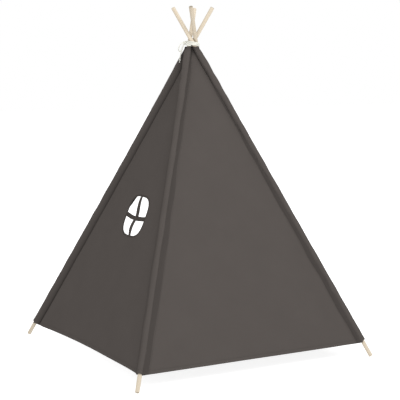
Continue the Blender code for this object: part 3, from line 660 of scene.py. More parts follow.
def knot_piece(name, centre, ex, ey, ez, radius, twist, end=None):
    loop = trefoil(centre, ex, ey, ez)
    b = Build()
    strand_tube(b, np.vstack([loop, loop[:1]]), radius, twist, sides=14, lobe=0.2)
    if end is not None:      # the rope's short end below the knot, its strands opening a little
        t = np.linspace(0, 1, 14)[:, None]
        for k in range(3):
            a = 2 * math.pi * k / 3
            spread = unit(ex) * math.cos(a) + unit(np.cross(ex, end)) * math.sin(a)
            line = centre + end * (0.35 + 0.65 * t) + spread * (0.0009 + 0.0013 * t ** 2)
            strand_tube(b, line, 0.00115, 0.006, strands=2, sides=10, lobe=0.12)
    o = b.object(name, [rope], 80)
    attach(o, "frame")
    return o


UPZ = np.array([0.0, 0.0, 1.0])
knot = knot_piece("lashing_knot_tied", KNOT - KNOT_OUT * 0.0008, KNOT_SIDE * 0.0078, UPZ * 0.0052 - KNOT_OUT * 0.0016,
                  KNOT_OUT * 0.0046 + UPZ * 0.0014, 0.0028, 0.011)
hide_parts("lashing_knot")

LOOP = [by_knot(0.0086, 0.0035, -0.0009), by_knot(0.0148, 0.0052, 0.0036), by_knot(0.0224, 0.0052, 0.0148),
        by_knot(0.0261, 0.0030, 0.0260), by_knot(0.0244, -0.0003, 0.0345), by_knot(0.0194, -0.0040, 0.0389),
        by_knot(0.0145, -0.0062, 0.0344), by_knot(0.0109, -0.0064, 0.0254), by_knot(0.0073, -0.0055, 0.0164),
        by_knot(0.0041, -0.0044, 0.0088)]
TAIL = [by_knot(0.0012, 0.0042, 0.0082), by_knot(0.0062, 0.0036, 0.0179), by_knot(0.0104, 0.0020, 0.0291),
        by_knot(0.0138, 0.0002, 0.0407), by_knot(0.0168, -0.0024, 0.0519), by_knot(0.0185, -0.0050, 0.0613),
        by_knot(0.0195, -0.0070, 0.0705)]
# both start inside the knot
LOOP = [by_knot(0.0026, 0.0016, -0.0006)] + LOOP + [by_knot(0.0018, -0.0028, 0.0040)]
TAIL = [by_knot(0.0002, 0.0026, 0.0024)] + TAIL
loop_line = smooth_route(LOOP, 66)
tail_line = smooth_route(TAIL, 56)


b = Build()
loop_path = strand_tube(b, loop_line, 0.0024, 0.0105, sides=16, lobe=0.10)
loop_piece = b.object("lashing_loop_laid", [rope], 80)
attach(loop_piece, "frame")
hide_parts("lashing_loop")

b = Build()
tail_path = strand_tube(b, tail_line, 0.0024, 0.0105, sides=16, lobe=0.10)
tail_piece = b.object("lashing_tail_laid", [rope], 80)
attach(tail_piece, "frame")
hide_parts("lashing_tail")

tip = unit(TAIL[-1] - TAIL[-2])
tip_side = unit(np.cross(tip, UPZ))
end_knot = knot_piece("lashing_tail_knot_tied", TAIL[-1] + tip * 0.0060, tip_side * 0.0036, tip * 0.0036,
                      np.cross(tip, tip_side) * 0.0022, 0.0021, 0.009, end=tip * 0.0125)
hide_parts("lashing_tail_knot")

# ------------------------------------------------------------------ pole pockets
BODY = {"back_right": "frame", "back_left": "leg_back_left", "front_left": "leg_front_left",
        "front_right": "leg_front_right"}
Z_HEM = float(panel_map("back", 0.0, HEM, 0.0)[2])
# where each pocket's cloth ends under the lashing, below the crossing
TOP_R = {"back_right": 0.0285, "back_left": 0.0290, "front_left": 0.0290, "front_right": 0.0285}
# where its square-cut lower end crosses the pole's axis
END_R = {"back_right": 1.5516, "back_left": 1.5473, "front_left": 1.5514, "front_right": 1.5554}


def pocket_ways(c):
    found = {}
    for panel, (left, right) in PANELS.items():
        if c in (left, right):
            other = right if c == left else left
            way = on_pole(other, REACH) - on_pole(c, REACH)
            d = LINES[c][1]
            found[panel] = unit(way - d * (way @ d))
    return found


def pocket_frame(c):
    """Outward direction and the direction towards the panel on the right, seen from outside."""
    ways = pocket_ways(c)
    out = -unit(sum(ways.values()))
    right_panel = [p for p, (left, _) in PANELS.items() if left == c][0]
    side = ways[right_panel] - out * (ways[right_panel] @ out)
    return out, unit(side)


def pocket(c, seed):
    out, side = pocket_frame(c)
    d = LINES[c][1]
    top = TOP_R[c]
    hem_r = END_R[c]
    r = np.unique(np.r_[top, top + 0.0015, top + 0.003, np.arange(top + 0.006, hem_r - 0.02, 0.0085),
                        hem_r - 0.0175, hem_r - 0.0163, hem_r - 0.0155, hem_r - 0.008, hem_r - 0.0015, hem_r])
    n = 40
    a = np.linspace(-math.pi, math.pi, n, endpoint=False)[None]
    R = r[:, None]
    # the cloth hugs the pole low down and stands looser towards the top, then is squeezed under the lashing
    rad = 0.0131 + 0.0010 * ease((0.9 - R) / 0.7)
    rad = rad + 0.00040 * waves(R * 1.0, a * 0.06, seed, 9.0) + 0.00009 * waves(R, a * 0.05, seed + 1, 34.0)
    if c == "back_right":       # slack cloth stands out towards the window side
        slack = 0.0060 * ease((0.40 - R) / 0.25) * (0.75 + 0.25 * waves(R, a * 0, seed + 3, 14.0))
        rad = rad + slack * ease((-np.sin(a + 0.25) + 0.15) / 1.0) * (np.cos(a) > -0.4)
    else:
        rad = rad + 0.0012 * ease((0.35 - R) / 0.25) * (1 + 0.3 * np.sin(a * 2 + seed))
    squeeze = ease((R - top) / (0.080 if c == "front_right" else 0.040))
    rad = 0.0106 + (rad - 0.0106) * (0.20 + 0.80 * squeeze)
    rad = rad + 0.0004 * np.sin(5 * a + 2 * seed) * (1 - ease((R - top) / 0.06))
    if c == "front_right":      # its cloth stands off towards the window side near the top, with a fold under it
        wide = 0.0215 - 0.0022 * ease((R - 0.030) / 0.020) - 0.0018 * ease((R - 0.130) / 0.045) \
            - 0.0018 * ease((R - 0.170) / 0.140)
        lobe = ease((np.cos(a - 0.26) - 0.1) / 0.9) * ease((0.60 - R) / 0.28)
        rad = rad + np.maximum(wide - rad, 0) * lobe
    rad = rad + {"back_left": 0.0011, "front_right": 0.0005}.get(c, 0.0) * ease((R - 0.06) / 0.05)
    hemmed = (R > hem_r - 0.016) * 0.0004
    rad = rad + hemmed
    dirs = np.cos(a)[..., None] * out + np.sin(a)[..., None] * side
    axis = LINES[c][0] + d * R[..., None]

    def rings(radius):
        P = axis + dirs * radius[..., None]
        # the top is cut level with the floor, the lower end square to the pole
        level = -(P - axis)[..., 2] / d[2] * ease(1 - np.abs(R - top) / 0.03)
        return P + d * level[..., None]

    outer = rings(rad)
    inner = rings(rad - 0.0010)
    U = a * 0.0135 + 0 * R
    # painted shade: the pocket darkens towards its top under the lashing, front_right's much more above r 0.08
    S = np.ones(rad.shape) * (0.80 + 0.20 * ease((R - top) / 0.035))
    if c == "front_right":
        S = S * (0.58 + 0.42 * ease((R - 0.080) / 0.014))
    b = Build()
    b.shell(outer, inner, U, R + 0 * a, S)
    k = len(r) - 5
    ring = np.vstack([outer[k], outer[k][:1]])
    nrm = np.vstack([dirs[0], dirs[0][:1]])
    b.stitches(ring + nrm * 0.0001, nrm)
    o = b.object(f"pocket_{c}_sewn", [cloth, thread], 60)
    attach(o, BODY[c])
    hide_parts(f"pocket_{c}")
    return o


for i, c in enumerate(CORNERS):
    pocket(c, 11 + 7 * i)


# ------------------------------------------------------------------ canopy panels
def tangent_point(seam, inset=PANEL_INSET, radius=POCKET_OUTER - 0.0003):
    """Where a taut flank from the seam meets the pocket, in (from the axis along the panel, outwards)."""
    alpha = np.arctan2(-inset, seam)
    dist = np.hypot(seam, inset)
    th = alpha + np.arccos(radius / dist)
    return radius * np.cos(th), radius * np.sin(th)


def top_shade(panel, up):
    """The cloth between two pockets falls into shade where they close up under the lashing."""
    r = REACH * (1 - up / SLOPE)
    low, high = {"window": (0.085, 0.150), "back": (0.040, 0.085)}.get(panel, (0.045, 0.10))
    return 0.48 + 0.52 * ease((r - low) / (high - low))


def hem_line(panel, across):
    """The hem's height up the slope; the window side's is drawn up a little in its middle."""
    across = np.asarray(across, float)
    if panel != "window":
        return HEM + 0 * across
    return (0.0610 + 0.0145 * (1 - ((across - 0.05) / 0.56) ** 2)
            - 0.0046 * ease((across + 0.56) / 0.10) * ease((0.52 - across) / 0.35))


def flank(b, panel, sgn, ups, seed, low_shade=0.62, high_shade=0.86, body_thick=0.0010):
    """The outer cloth from a pocket down to its seam. sgn +1 is the panel's right-hand pole."""
    up = ups[:, None]
    w = half_width(ups)[:, None]
    seam = seam_distance(panel, ups, sgn)[:, None] + 0.0011 * waves(up, 0 * up, seed, 5.0)
    tx, ty = tangent_point(seam)
    s = np.linspace(0, 1, 9)[None]
    perp = tx + (seam - tx) * s
    off = ty + (-PANEL_INSET - ty) * s
    off = off - 0.0012 * np.sin(math.pi * s) + 0.00035 * waves(up, s * 0.05, seed + 5, 20.0) * np.sin(math.pi * s)
    off = off + 0.0008 * (s > 0.97)
    P = panel_map(panel, sgn * (w - perp / COS_FAN), up + 0 * s, off)
    N = unit_rows(np.cross(np.gradient(P, axis=0), np.gradient(P, axis=1)))
    if float((N * NORMALS[panel]).sum()) < 0:
        N = -N
    if (panel, sgn) == ("back", 1):      # even shade, with the light only on the tube itself
        rise = 0.5 * (1 - s) + 0.5 * ease(1 - s / 0.3)
    else:                                # the shade gathers in the valley beside the seam
        rise = 1 - s ** 2.2
    S = low_shade + (high_shade - low_shade) * rise + 0 * up
    S = S * (1 - (1 - top_shade(panel, up)) * ease(s * (4.0 if (panel, sgn) == ("window", 1) else 1.2)))
    b.sheet(P, N, body_thick, sgn * perp + 0 * up, up + 0 * s, S)


def unit_rows(v):
    return v / np.maximum(np.linalg.norm(v, axis=-1, keepdims=True), 1e-12)


def hem_rows(low, high, step=0.0085):
    return np.unique(np.r_[low, low + 0.0012, low + 0.003, low + 0.008, low + 0.0155, low + 0.0163, low + 0.0175,
                           np.arange(low + 0.024, high - 0.006, step), high - 0.003, high])


def base_sheet(panel, tops, seed, sag, crease=1.0):
    """The panel's own cloth from pocket to pocket, with its hem, seam allowances and slight slack."""
    left_top, right_top = tops
    high = max(left_top, right_top)
    ups = hem_rows(HEM, high)
    n = 84
    s = np.linspace(-1, 1, n)[None]
    s = np.sign(s) * (1 - (1 - np.abs(s)) ** 1.12)
    inner = (POCKET_OUTER - 0.0012) * 0.96 / COS_FAN
    edge = left_top + (right_top - left_top) * (s + 1) / 2
    low = hem_line(panel, s * (half_width(np.array(HEM)) - inner))
    up = low + (edge - low) * (ups[:, None] - HEM) / (high - HEM)
    w = half_width(up)
    reach = np.maximum(w - inner, 0.0006)
    across = s * reach
    d = (w - np.abs(across)) * COS_FAN          # from the nearer pole's axis
    seam = np.where(s > 0, seam_distance(panel, up, 1), seam_distance(panel, up, -1))
    free = ease((d - seam) / 0.05)              # away from the seams
    hem_near = ease(1 - (up - HEM) / 0.45)
    off = -sag * (1 - s ** 2) * hem_near
    off = off + crease * free * (0.0011 * waves(across, up * 0.7, seed, 2.2) + 0.00045 * waves(across, up, seed + 2, 6.5))
    # soft strain folds running from the hem's corners
    for k, sg in enumerate((-1, 1)):
        cx, cy = sg * (BASE_HALF - 0.05), HEM
        dx, dy = across - cx, up - cy
        dist = np.hypot(dx, dy)
        ang = np.arctan2(dy, -sg * dx)
        off = off + crease * free * 0.0014 * np.sin(ang * 11 + seed + k) * np.exp(-((dist - 0.22) / 0.16) ** 2)
    # slack under the lashing
    near_top = ease((up - (high - 0.26)) / 0.26)
    off = off + crease * free * near_top * 0.0016 * np.sin(across * 90 + seed) * np.exp(-((high - up) / 0.12))
    rest = -PANEL_INSET + off
    # doubled cloth: the hem, and the seam allowance beside each pocket
    rest = rest + 0.0004 * (up < low + 0.016)
    rest = rest + 0.0005 * ease((seam + 0.0065 - d) / 0.0012) * (d > seam - 0.004)
    P = panel_map(panel, across, up, rest)
    # painted shade: darker beside the seams, along the hem's fold line, at the hem's very edge, in a dip beside the
    # seams near the top and under the lashing
    S = np.ones(P.shape[:2])
    S = S * (1 - 0.04 * ease(1 - (d - seam) / 0.004) * (d > seam - 0.002))
    S = S * (1 - 0.05 * ease(1 - np.abs(up - low - 0.0165) / 0.0016))
    S = S * (1 - 0.14 * ease(1 - (up - low) / 0.002))
    S = S * (1 - 0.05 * ease((0.55 - REACH * (1 - up / SLOPE)) / 0.40) * ease(1 - (d - seam) / 0.030))
    S = S * top_shade(panel, up)
    return P, across, up, S, ups, seam, d


def fit_to_surface(P, across, up, qa, qu, panel):
    """Points on the bent panel at panel coordinates (qa, qu): nearest grid point's offset is used."""
    base = panel_map(panel, qa, qu, 0.0)
    A, U_ = across.ravel(), up.ravel()
    offs = ((P - panel_map(panel, across, up, 0.0)) @ NORMALS[panel]).ravel()
    out = np.zeros(len(qa))
    for i, (x, y) in enumerate(zip(qa, qu)):
        k = np.argpartition((A - x) ** 2 + (U_ - y) ** 2, 4)[:4]
        wgt = 1 / (np.hypot(A[k] - x, U_[k] - y) + 1e-5)
        out[i] = (offs[k] * wgt).sum() / wgt.sum()
    return base + NORMALS[panel] * out[:, None]


PANEL_INFO = {
    "window": dict(node="window_panel", body="window_side", joint="fold_window_side", keep=0.1488, sag=0.0075,
                   tops=(up_of(0.029), up_of(0.029)), seed=3, crease=0.6),
    "back": dict(node="back_panel", body="back_side", joint="fold_back_side", keep=0.1488, sag=0.0015,
                 tops=(up_of(0.029), up_of(0.029)), seed=5),
    "plain": dict(node="plain_side_panel", body="plain_side", joint="fold_plain_side", keep=0.1488, sag=0.0040,
                  tops=(up_of(0.031), up_of(0.031)), seed=8),
}


def window_outline(angle, grow):
    c, s_ = np.cos(angle), np.sin(angle)
    a, b_ = WINDOW_HALF[0] + grow, WINDOW_HALF[1] + grow
    k = (np.abs(c / a) ** WINDOW_POWER + np.abs(s_ / b_) ** WINDOW_POWER) ** (-1.0 / WINDOW_POWER)
    # hand cut: a little short at the top corner towards the back
    return (WINDOW_CENTRE[0] + c * k - 0.0024 * np.maximum(c, 0),
            WINDOW_CENTRE[1] + s_ * k - 0.0034 * np.maximum(s_, 0) * (0.5 + 0.5 * c))


def cut_window(obj, off):
    """Cuts the window's rounded opening out of the panel's cloth."""
    t = np.linspace(0, 2 * math.pi, 120, endpoint=False)
    x, y = window_outline(t, 0.0040)
    bm = bmesh.new()
    rings = []
    for o_ in (0.05, -0.05):
        pts = panel_map("window", x, y, o_)
        rings.append([bm.verts.new(Vector(p)) for p in pts])
    n = len(t)
    bm.faces.new(rings[0])
    bm.faces.new(rings[1][::-1])
    for i in range(n):
        k = (i + 1) % n
        bm.faces.new((rings[0][k], rings[0][i], rings[1][i], rings[1][k]))
    bmesh.ops.recalc_face_normals(bm, faces=bm.faces)
    me = bpy.data.meshes.new("window_cut")
    bm.to_mesh(me)
    bm.free()
    cutter = bpy.data.objects.new("window_cut", me)
    bpy.context.scene.collection.objects.link(cutter)
    mod = obj.modifiers.new("window", "BOOLEAN")
    mod.operation, mod.solver, mod.object = "DIFFERENCE", "EXACT", cutter
    bpy.context.view_layer.update()
    dg = bpy.context.evaluated_depsgraph_get()
    new = bpy.data.meshes.new_from_object(obj.evaluated_get(dg))
    obj.modifiers.clear()
    obj.data = new
    bpy.data.objects.remove(cutter, do_unlink=True)


def merge_into(obj, other):
    """Adds another mesh's faces to obj and removes it."""
    bm = bmesh.new()
    bm.from_mesh(obj.data)
    bm.from_mesh(other.data)
    bm.to_mesh(obj.data)
    bm.free()
    bpy.data.objects.remove(other, do_unlink=True)


def flatten_window(P, across, up):
    """The cloth lies flat round the window's binding."""
    d = np.hypot((across - WINDOW_CENTRE[0]) / WINDOW_HALF[0], (up - WINDOW_CENTRE[1]) / WINDOW_HALF[1])
    k = ease((1.75 - d) / 0.5)
    base = panel_map("window", across, up, 0.0)
    off = (P - base) @ NORMALS["window"]
    flat = WINDOW_OFF
    return base + NORMALS["window"] * (off * (1 - k) + flat * k)[..., None]


WINDOW_OFF = -PANEL_INSET
for panel, info in PANEL_INFO.items():
    P, across, up, S, ups, seam, d = base_sheet(panel, info["tops"], info["seed"], info["sag"],
                                             info.get("crease", 1.0))
    if panel == "window":
        P = flatten_window(P, across, up)
    N = unit_rows(np.cross(np.gradient(P, axis=0), np.gradient(P, axis=1)))
    if float((N * NORMALS[panel]).sum()) < 0:
        N = -N
    main = Build()
    main.sheet(P, N, 0.0010, across, up, S)
    obj = main.object(f"{info['node']}_sewn", [cloth, thread], 40)
    if panel == "window":
        cut_window(obj, WINDOW_OFF)
    more = Build()
    for sgn, top in ((-1, info["tops"][0]), (1, info["tops"][1])):
        # painted shade on each flank: its value at the seam, then at the pocket's crest
        low, high = {("window", -1): (0.37, 0.93), ("window", 1): (0.94, 0.98), ("back", 1): (0.66, 1.00), ("back", -1): (0.76, 0.78)}.get(
            (panel, sgn), (0.60, 0.92))
        rows = hem_rows(float(hem_line(panel, sgn * 0.56)), min(top, up_of(0.036)) - 0.001, 0.0125)
        flank(more, panel, sgn, rows, info["seed"] * 10 + sgn, low, high)
        path = panel_map(panel, sgn * (half_width(rows) - (seam_distance(panel, rows, sgn) + 0.0042) / COS_FAN), rows, 0.0)
        sel = rows < (0.96 * high if high > 1 else top - 0.06)
        qa = sgn * (half_width(rows) - (seam_distance(panel, rows, sgn) + 0.0042) / COS_FAN)
        path = fit_to_surface(P, across, up, qa[sel], rows[sel], panel)
        more.stitches(path + NORMALS[panel] * 0.0006, NORMALS[panel])
    qa = np.linspace(-0.50, 0.50, 160)
    for h in (0.0140,):
        path = fit_to_surface(P, across, up, qa, hem_line(panel, qa) + h, panel)
        more.stitches(path + NORMALS[panel] * 0.0006, NORMALS[panel])
    extra = more.object("extra", [cloth, thread], 40)
    merge_into(obj, extra)
    obj.data.shade_smooth()
    obj.data.set_sharp_from_angle(angle=math.radians(40))
    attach(obj, info["body"])
    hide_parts(info["node"])
    axis = unit(panel_map(panel, 0.1, 0.7) - panel_map(panel, -0.1, 0.7))
    info["axis"] = axis
    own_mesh(obj)

# ------------------------------------------------------------------ window binding and bars
t = np.linspace(0, 2 * math.pi, 144, endpoint=False)
sec = []
for g, h in ((0.0, 0.0), (0.0004, 0.0011), (0.0020, 0.0015), (0.0050, 0.0015), (0.0074, 0.0013), (0.0082, 0.0006),
             (0.0082, -0.0006), (0.0074, -0.0013), (0.0050, -0.0015), (0.0020, -0.0015), (0.0004, -0.0011)):
    x, y = window_outline(t, g)
    sec.append(panel_map("window", x, y, WINDOW_OFF + h + 0.00012 * waves(np.cos(t), np.sin(t), 4, 6.0)))
ring = np.stack(sec, 1)
ring = np.concatenate([ring, ring[:1]])
b = Build()
tt = np.r_[t, 2 * math.pi][:, None]
arc = tt * 0.092
U, V = arc + 0 * ring[..., 0], np.linspace(0, 0.022, ring.shape[1])[None] + 0 * arc
base = b.points(ring[:-1], U[:-1], V[:-1], np.ones(ring[:-1].shape[:2]))
rows_n, c_n = ring.shape[0] - 1, ring.shape[1]
idx = base + np.arange(rows_n * c_n).reshape(rows_n, c_n)
nr, nc = np.roll(idx, -1, 0), np.roll(idx, -1, 1)
q = np.stack([idx, nr, np.roll(nr, -1, 1), nc], -1).reshape(-1, 4)
flatv = ring[:-1].reshape(-1, 3)
qq = q - base
cr = np.cross(flatv[qq[:, 1]] - flatv[qq[:, 0]], flatv[qq[:, 3]] - flatv[qq[:, 0]])
centre_line = ring[:-1].mean(1)[:, None].repeat(c_n, 1).reshape(-1, 3)
if float((cr * (flatv[qq[:, 0]] - centre_line[qq[:, 0]])).sum()) < 0:
    q = q[:, ::-1]
b.quads(q)
x, y = window_outline(t, 0.0062)
for h in (0.0016,):
    path = panel_map("window", x, y, WINDOW_OFF + h)
    b.stitches(np.vstack([path, path[:1]]), NORMALS["window"])
binding = b.object("window_binding_sewn", [tape, thread], 60)
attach(binding, "window_side")
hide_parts("window_binding")


def bar(name, centre_of, length, upright, off, seed, node_name):
    """A flat tape across the window, slack enough to wander."""
    s = np.linspace(-1, 1, 46)[:, None]
    wdt = np.linspace(-1, 1, 9)[None]
    half = (0.0098 if upright else 0.0101) + 0.0003 * waves(s, 0 * s, seed, 0.9)
    mid = centre_of(s)
    lo = off + 0.0011 * np.cos(s * 2.6 + seed) * (1 - s ** 6) + 0.0012 * waves(s, wdt * 0.3, seed + 1, 0.8) * (1 - s ** 8)
    lo = lo + 0.00035 * (np.abs(wdt) > 0.8)
    if upright:     # each half bellies out a little and turns towards the back
        lo = lo + (0.0004 * (s > 0) + 0.0014 * (s <= 0)) * np.sin(math.pi * np.abs(s)) ** 1.2
        lo = lo - 0.16 * half * wdt * (1 - s ** 6)
    if upright:
        x, y = WINDOW_CENTRE[0] + mid + half * wdt, WINDOW_CENTRE[1] + s * length + 0 * wdt
    else:
        x, y = WINDOW_CENTRE[0] + s * length + 0 * wdt, WINDOW_CENTRE[1] + mid + half * wdt
    P = panel_map("window", x, y, WINDOW_OFF + lo)
    N = unit_rows(np.cross(np.gradient(P, axis=0), np.gradient(P, axis=1)))
    if float((N * NORMALS["window"]).sum()) < 0:
        N = -N
    b = Build()
    b.sheet(P, N, 0.0009, half * wdt + 0 * s, s * length + 0 * wdt)
    for e in (1, 7):
        b.stitches(P[1:-1, e] + N[1:-1, e] * 0.0005, N[1:-1, e])
    o = b.object(name, [tape, thread], 50)
    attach(o, "window_side")
    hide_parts(node_name)
    return o


upright_bar = bar("window_bar_upright_sewn", lambda s: 0.0080 - np.where(s > 0, 0.0140, 0.0040) * np.abs(s)
                  - np.where(s > 0, 0.0030, 0.0044) * np.sin(math.pi * np.abs(s)),
                  0.0905, True, 0.0010, 2, "window_bar_upright")
level_bar = bar("window_bar_level_sewn", lambda s: -0.0090 * (1 - s ** 2) - 0.0016 * s - 0.0024, 0.0925, False, -0.0012, 6,
                "window_bar_level")
for o in (binding, upright_bar, level_bar):
    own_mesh(o)

AREA = 2 * 0.5 * (BASE_HALF + 0.02) * (SLOPE - HEM)

# ------------------------------------------------------------------ door side
OUTW = NORMALS["front"]
APEX = panel_map("front", 0.0, DOOR_APEX, -PANEL_INSET)


def door_map(side, out, down, off=0.0):
    """Beside the drawn-aside flap's free edge: out towards the pole, down from the slit's top, off the panel."""
    out, down, off = np.broadcast_arrays(*(np.asarray(q, float) for q in (out, down, off)))
    across = down * math.sin(DOOR_ANGLE) + out * math.cos(DOOR_ANGLE)
    up = DOOR_APEX - down * math.cos(DOOR_ANGLE) + out * math.sin(DOOR_ANGLE)
    return panel_map("front", side * across, up, off - PANEL_INSET)


def to_hem(out):
    return (DOOR_APEX + out * math.sin(DOOR_ANGLE) - HEM) / math.cos(DOOR_ANGLE)


def to_top(out):
    return out * math.tan(DOOR_ANGLE)


def to_end(out, share):
    """A flap's lower end: cut so that it hangs level with the hem once the door is drawn across."""
    turn = (1 - share) * DOOR_ANGLE
    return (DOOR_APEX + out * np.sin(turn) - HEM) / np.cos(turn)


LONGEST = to_hem(0.0)
TIE_DOWN = (DOOR_APEX - DOOR_TIE_HEIGHT) / math.cos(DOOR_ANGLE)

# the cloth above the slit
tops = (up_of(0.031), up_of(0.031))
low = DOOR_APEX - 0.010
ups = np.unique(np.r_[low, low + 0.0012, low + 0.003, low + 0.010, low + 0.0128, low + 0.0136,
                      np.arange(low + 0.02, max(tops) - 0.004, 0.0085), max(tops)])
s = np.linspace(-1, 1, 56)[None]
up = ups[:, None] + 0 * s
edge = tops[0] + (tops[1] - tops[0]) * (s + 1) / 2
up = low + (edge - low) * (up - low) / (max(tops) - low)
w = half_width(up)
reach = np.maximum(w - (POCKET_OUTER - 0.0012) * 0.96 / COS_FAN, 0.0006)
across = s * reach
dist = (w - np.abs(across)) * COS_FAN
seam = seam_distance("front", up)
free = ease((dist - seam) / 0.04)
off = -PANEL_INSET - 0.0015 * (1 - s ** 2) + free * 0.0008 * waves(across, up, 21, 5.0)
# the lower edge lies over the tops of the flaps
off = off + 0.0052 * ease((low + 0.034 - up) / 0.024) * ease((reach - np.abs(across)) / 0.02)
off = off + 0.0006 * (up < low + 0.013)
P = panel_map("front", across, up, off)
N = unit_rows(np.cross(np.gradient(P, axis=0), np.gradient(P, axis=1)))
if float((N * OUTW).sum()) < 0:
    N = -N
# painted shade: slightly darker beside the seams
S = np.ones(P.shape[:2]) * (1 - 0.06 * ease(1 - (dist - seam) / 0.004) * (dist > seam - 0.002))
b = Build()
b.sheet(P, N, 0.0010, across, up, S)
for sgn, top in ((-1, tops[0]), (1, tops[1])):
    flank(b, "front", sgn, np.unique(np.r_[np.arange(low, top - 0.01, 0.0125), top - 0.002]), 77 + sgn)
for row in (3,):
    b.stitches(P[row, 3:-3] + N[row, 3:-3] * 0.0006, N[row, 3:-3])
front_top = b.object("front_panel_sewn", [cloth, thread], 40)
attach(front_top, "front_top")
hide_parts("front_panel")

# patch over the top of the slit, box stitched
s = np.linspace(-1, 1, 13)[None]
v = np.linspace(0, 1, 12)[:, None]
wid = 0.0195 * (1 - 0.22 * v)
corner = 1 - 0.10 * (np.abs(s) ** 6) * (v > 0.9)
x, y = s * wid * corner, DOOR_APEX + 0.0005 + 0.0325 * v + 0 * s
edge_drop = 0.0007 * np.maximum(np.abs(s) ** 8, np.abs(2 * v - 1) ** 10)
lift = 0.0052 * ease((low + 0.034 - y) / 0.024)
P = panel_map("front", x, y, -PANEL_INSET + lift + 0.0012 - edge_drop + 0.0002 * waves(x, y, 5, 60.0))
N = np.broadcast_to(OUTW, P.shape)
b = Build()
b.sheet(P, N, 0.0013, x, y)
inset = 0.84
box = np.concatenate([P[1, 1:-1], P[1:-1, -2], P[-2, -2:0:-1], P[-2:0:-1, 1]])
b.stitches(box + OUTW * 0.00075, OUTW, pitch=0.0030, length=0.0022)
for diag in (np.linspace(P[1, 1], P[-2, -2], 8), np.linspace(P[1, -2], P[-2, 1], 8)):
    b.stitches(diag + OUTW * 0.0010, OUTW, pitch=0.0030, length=0.0022)
patch = b.object("door_top_patch_sewn", [tape, thread], 60)
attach(patch, "front_top")
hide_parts("door_top_patch")
for o in (front_top, patch):
    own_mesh(o)

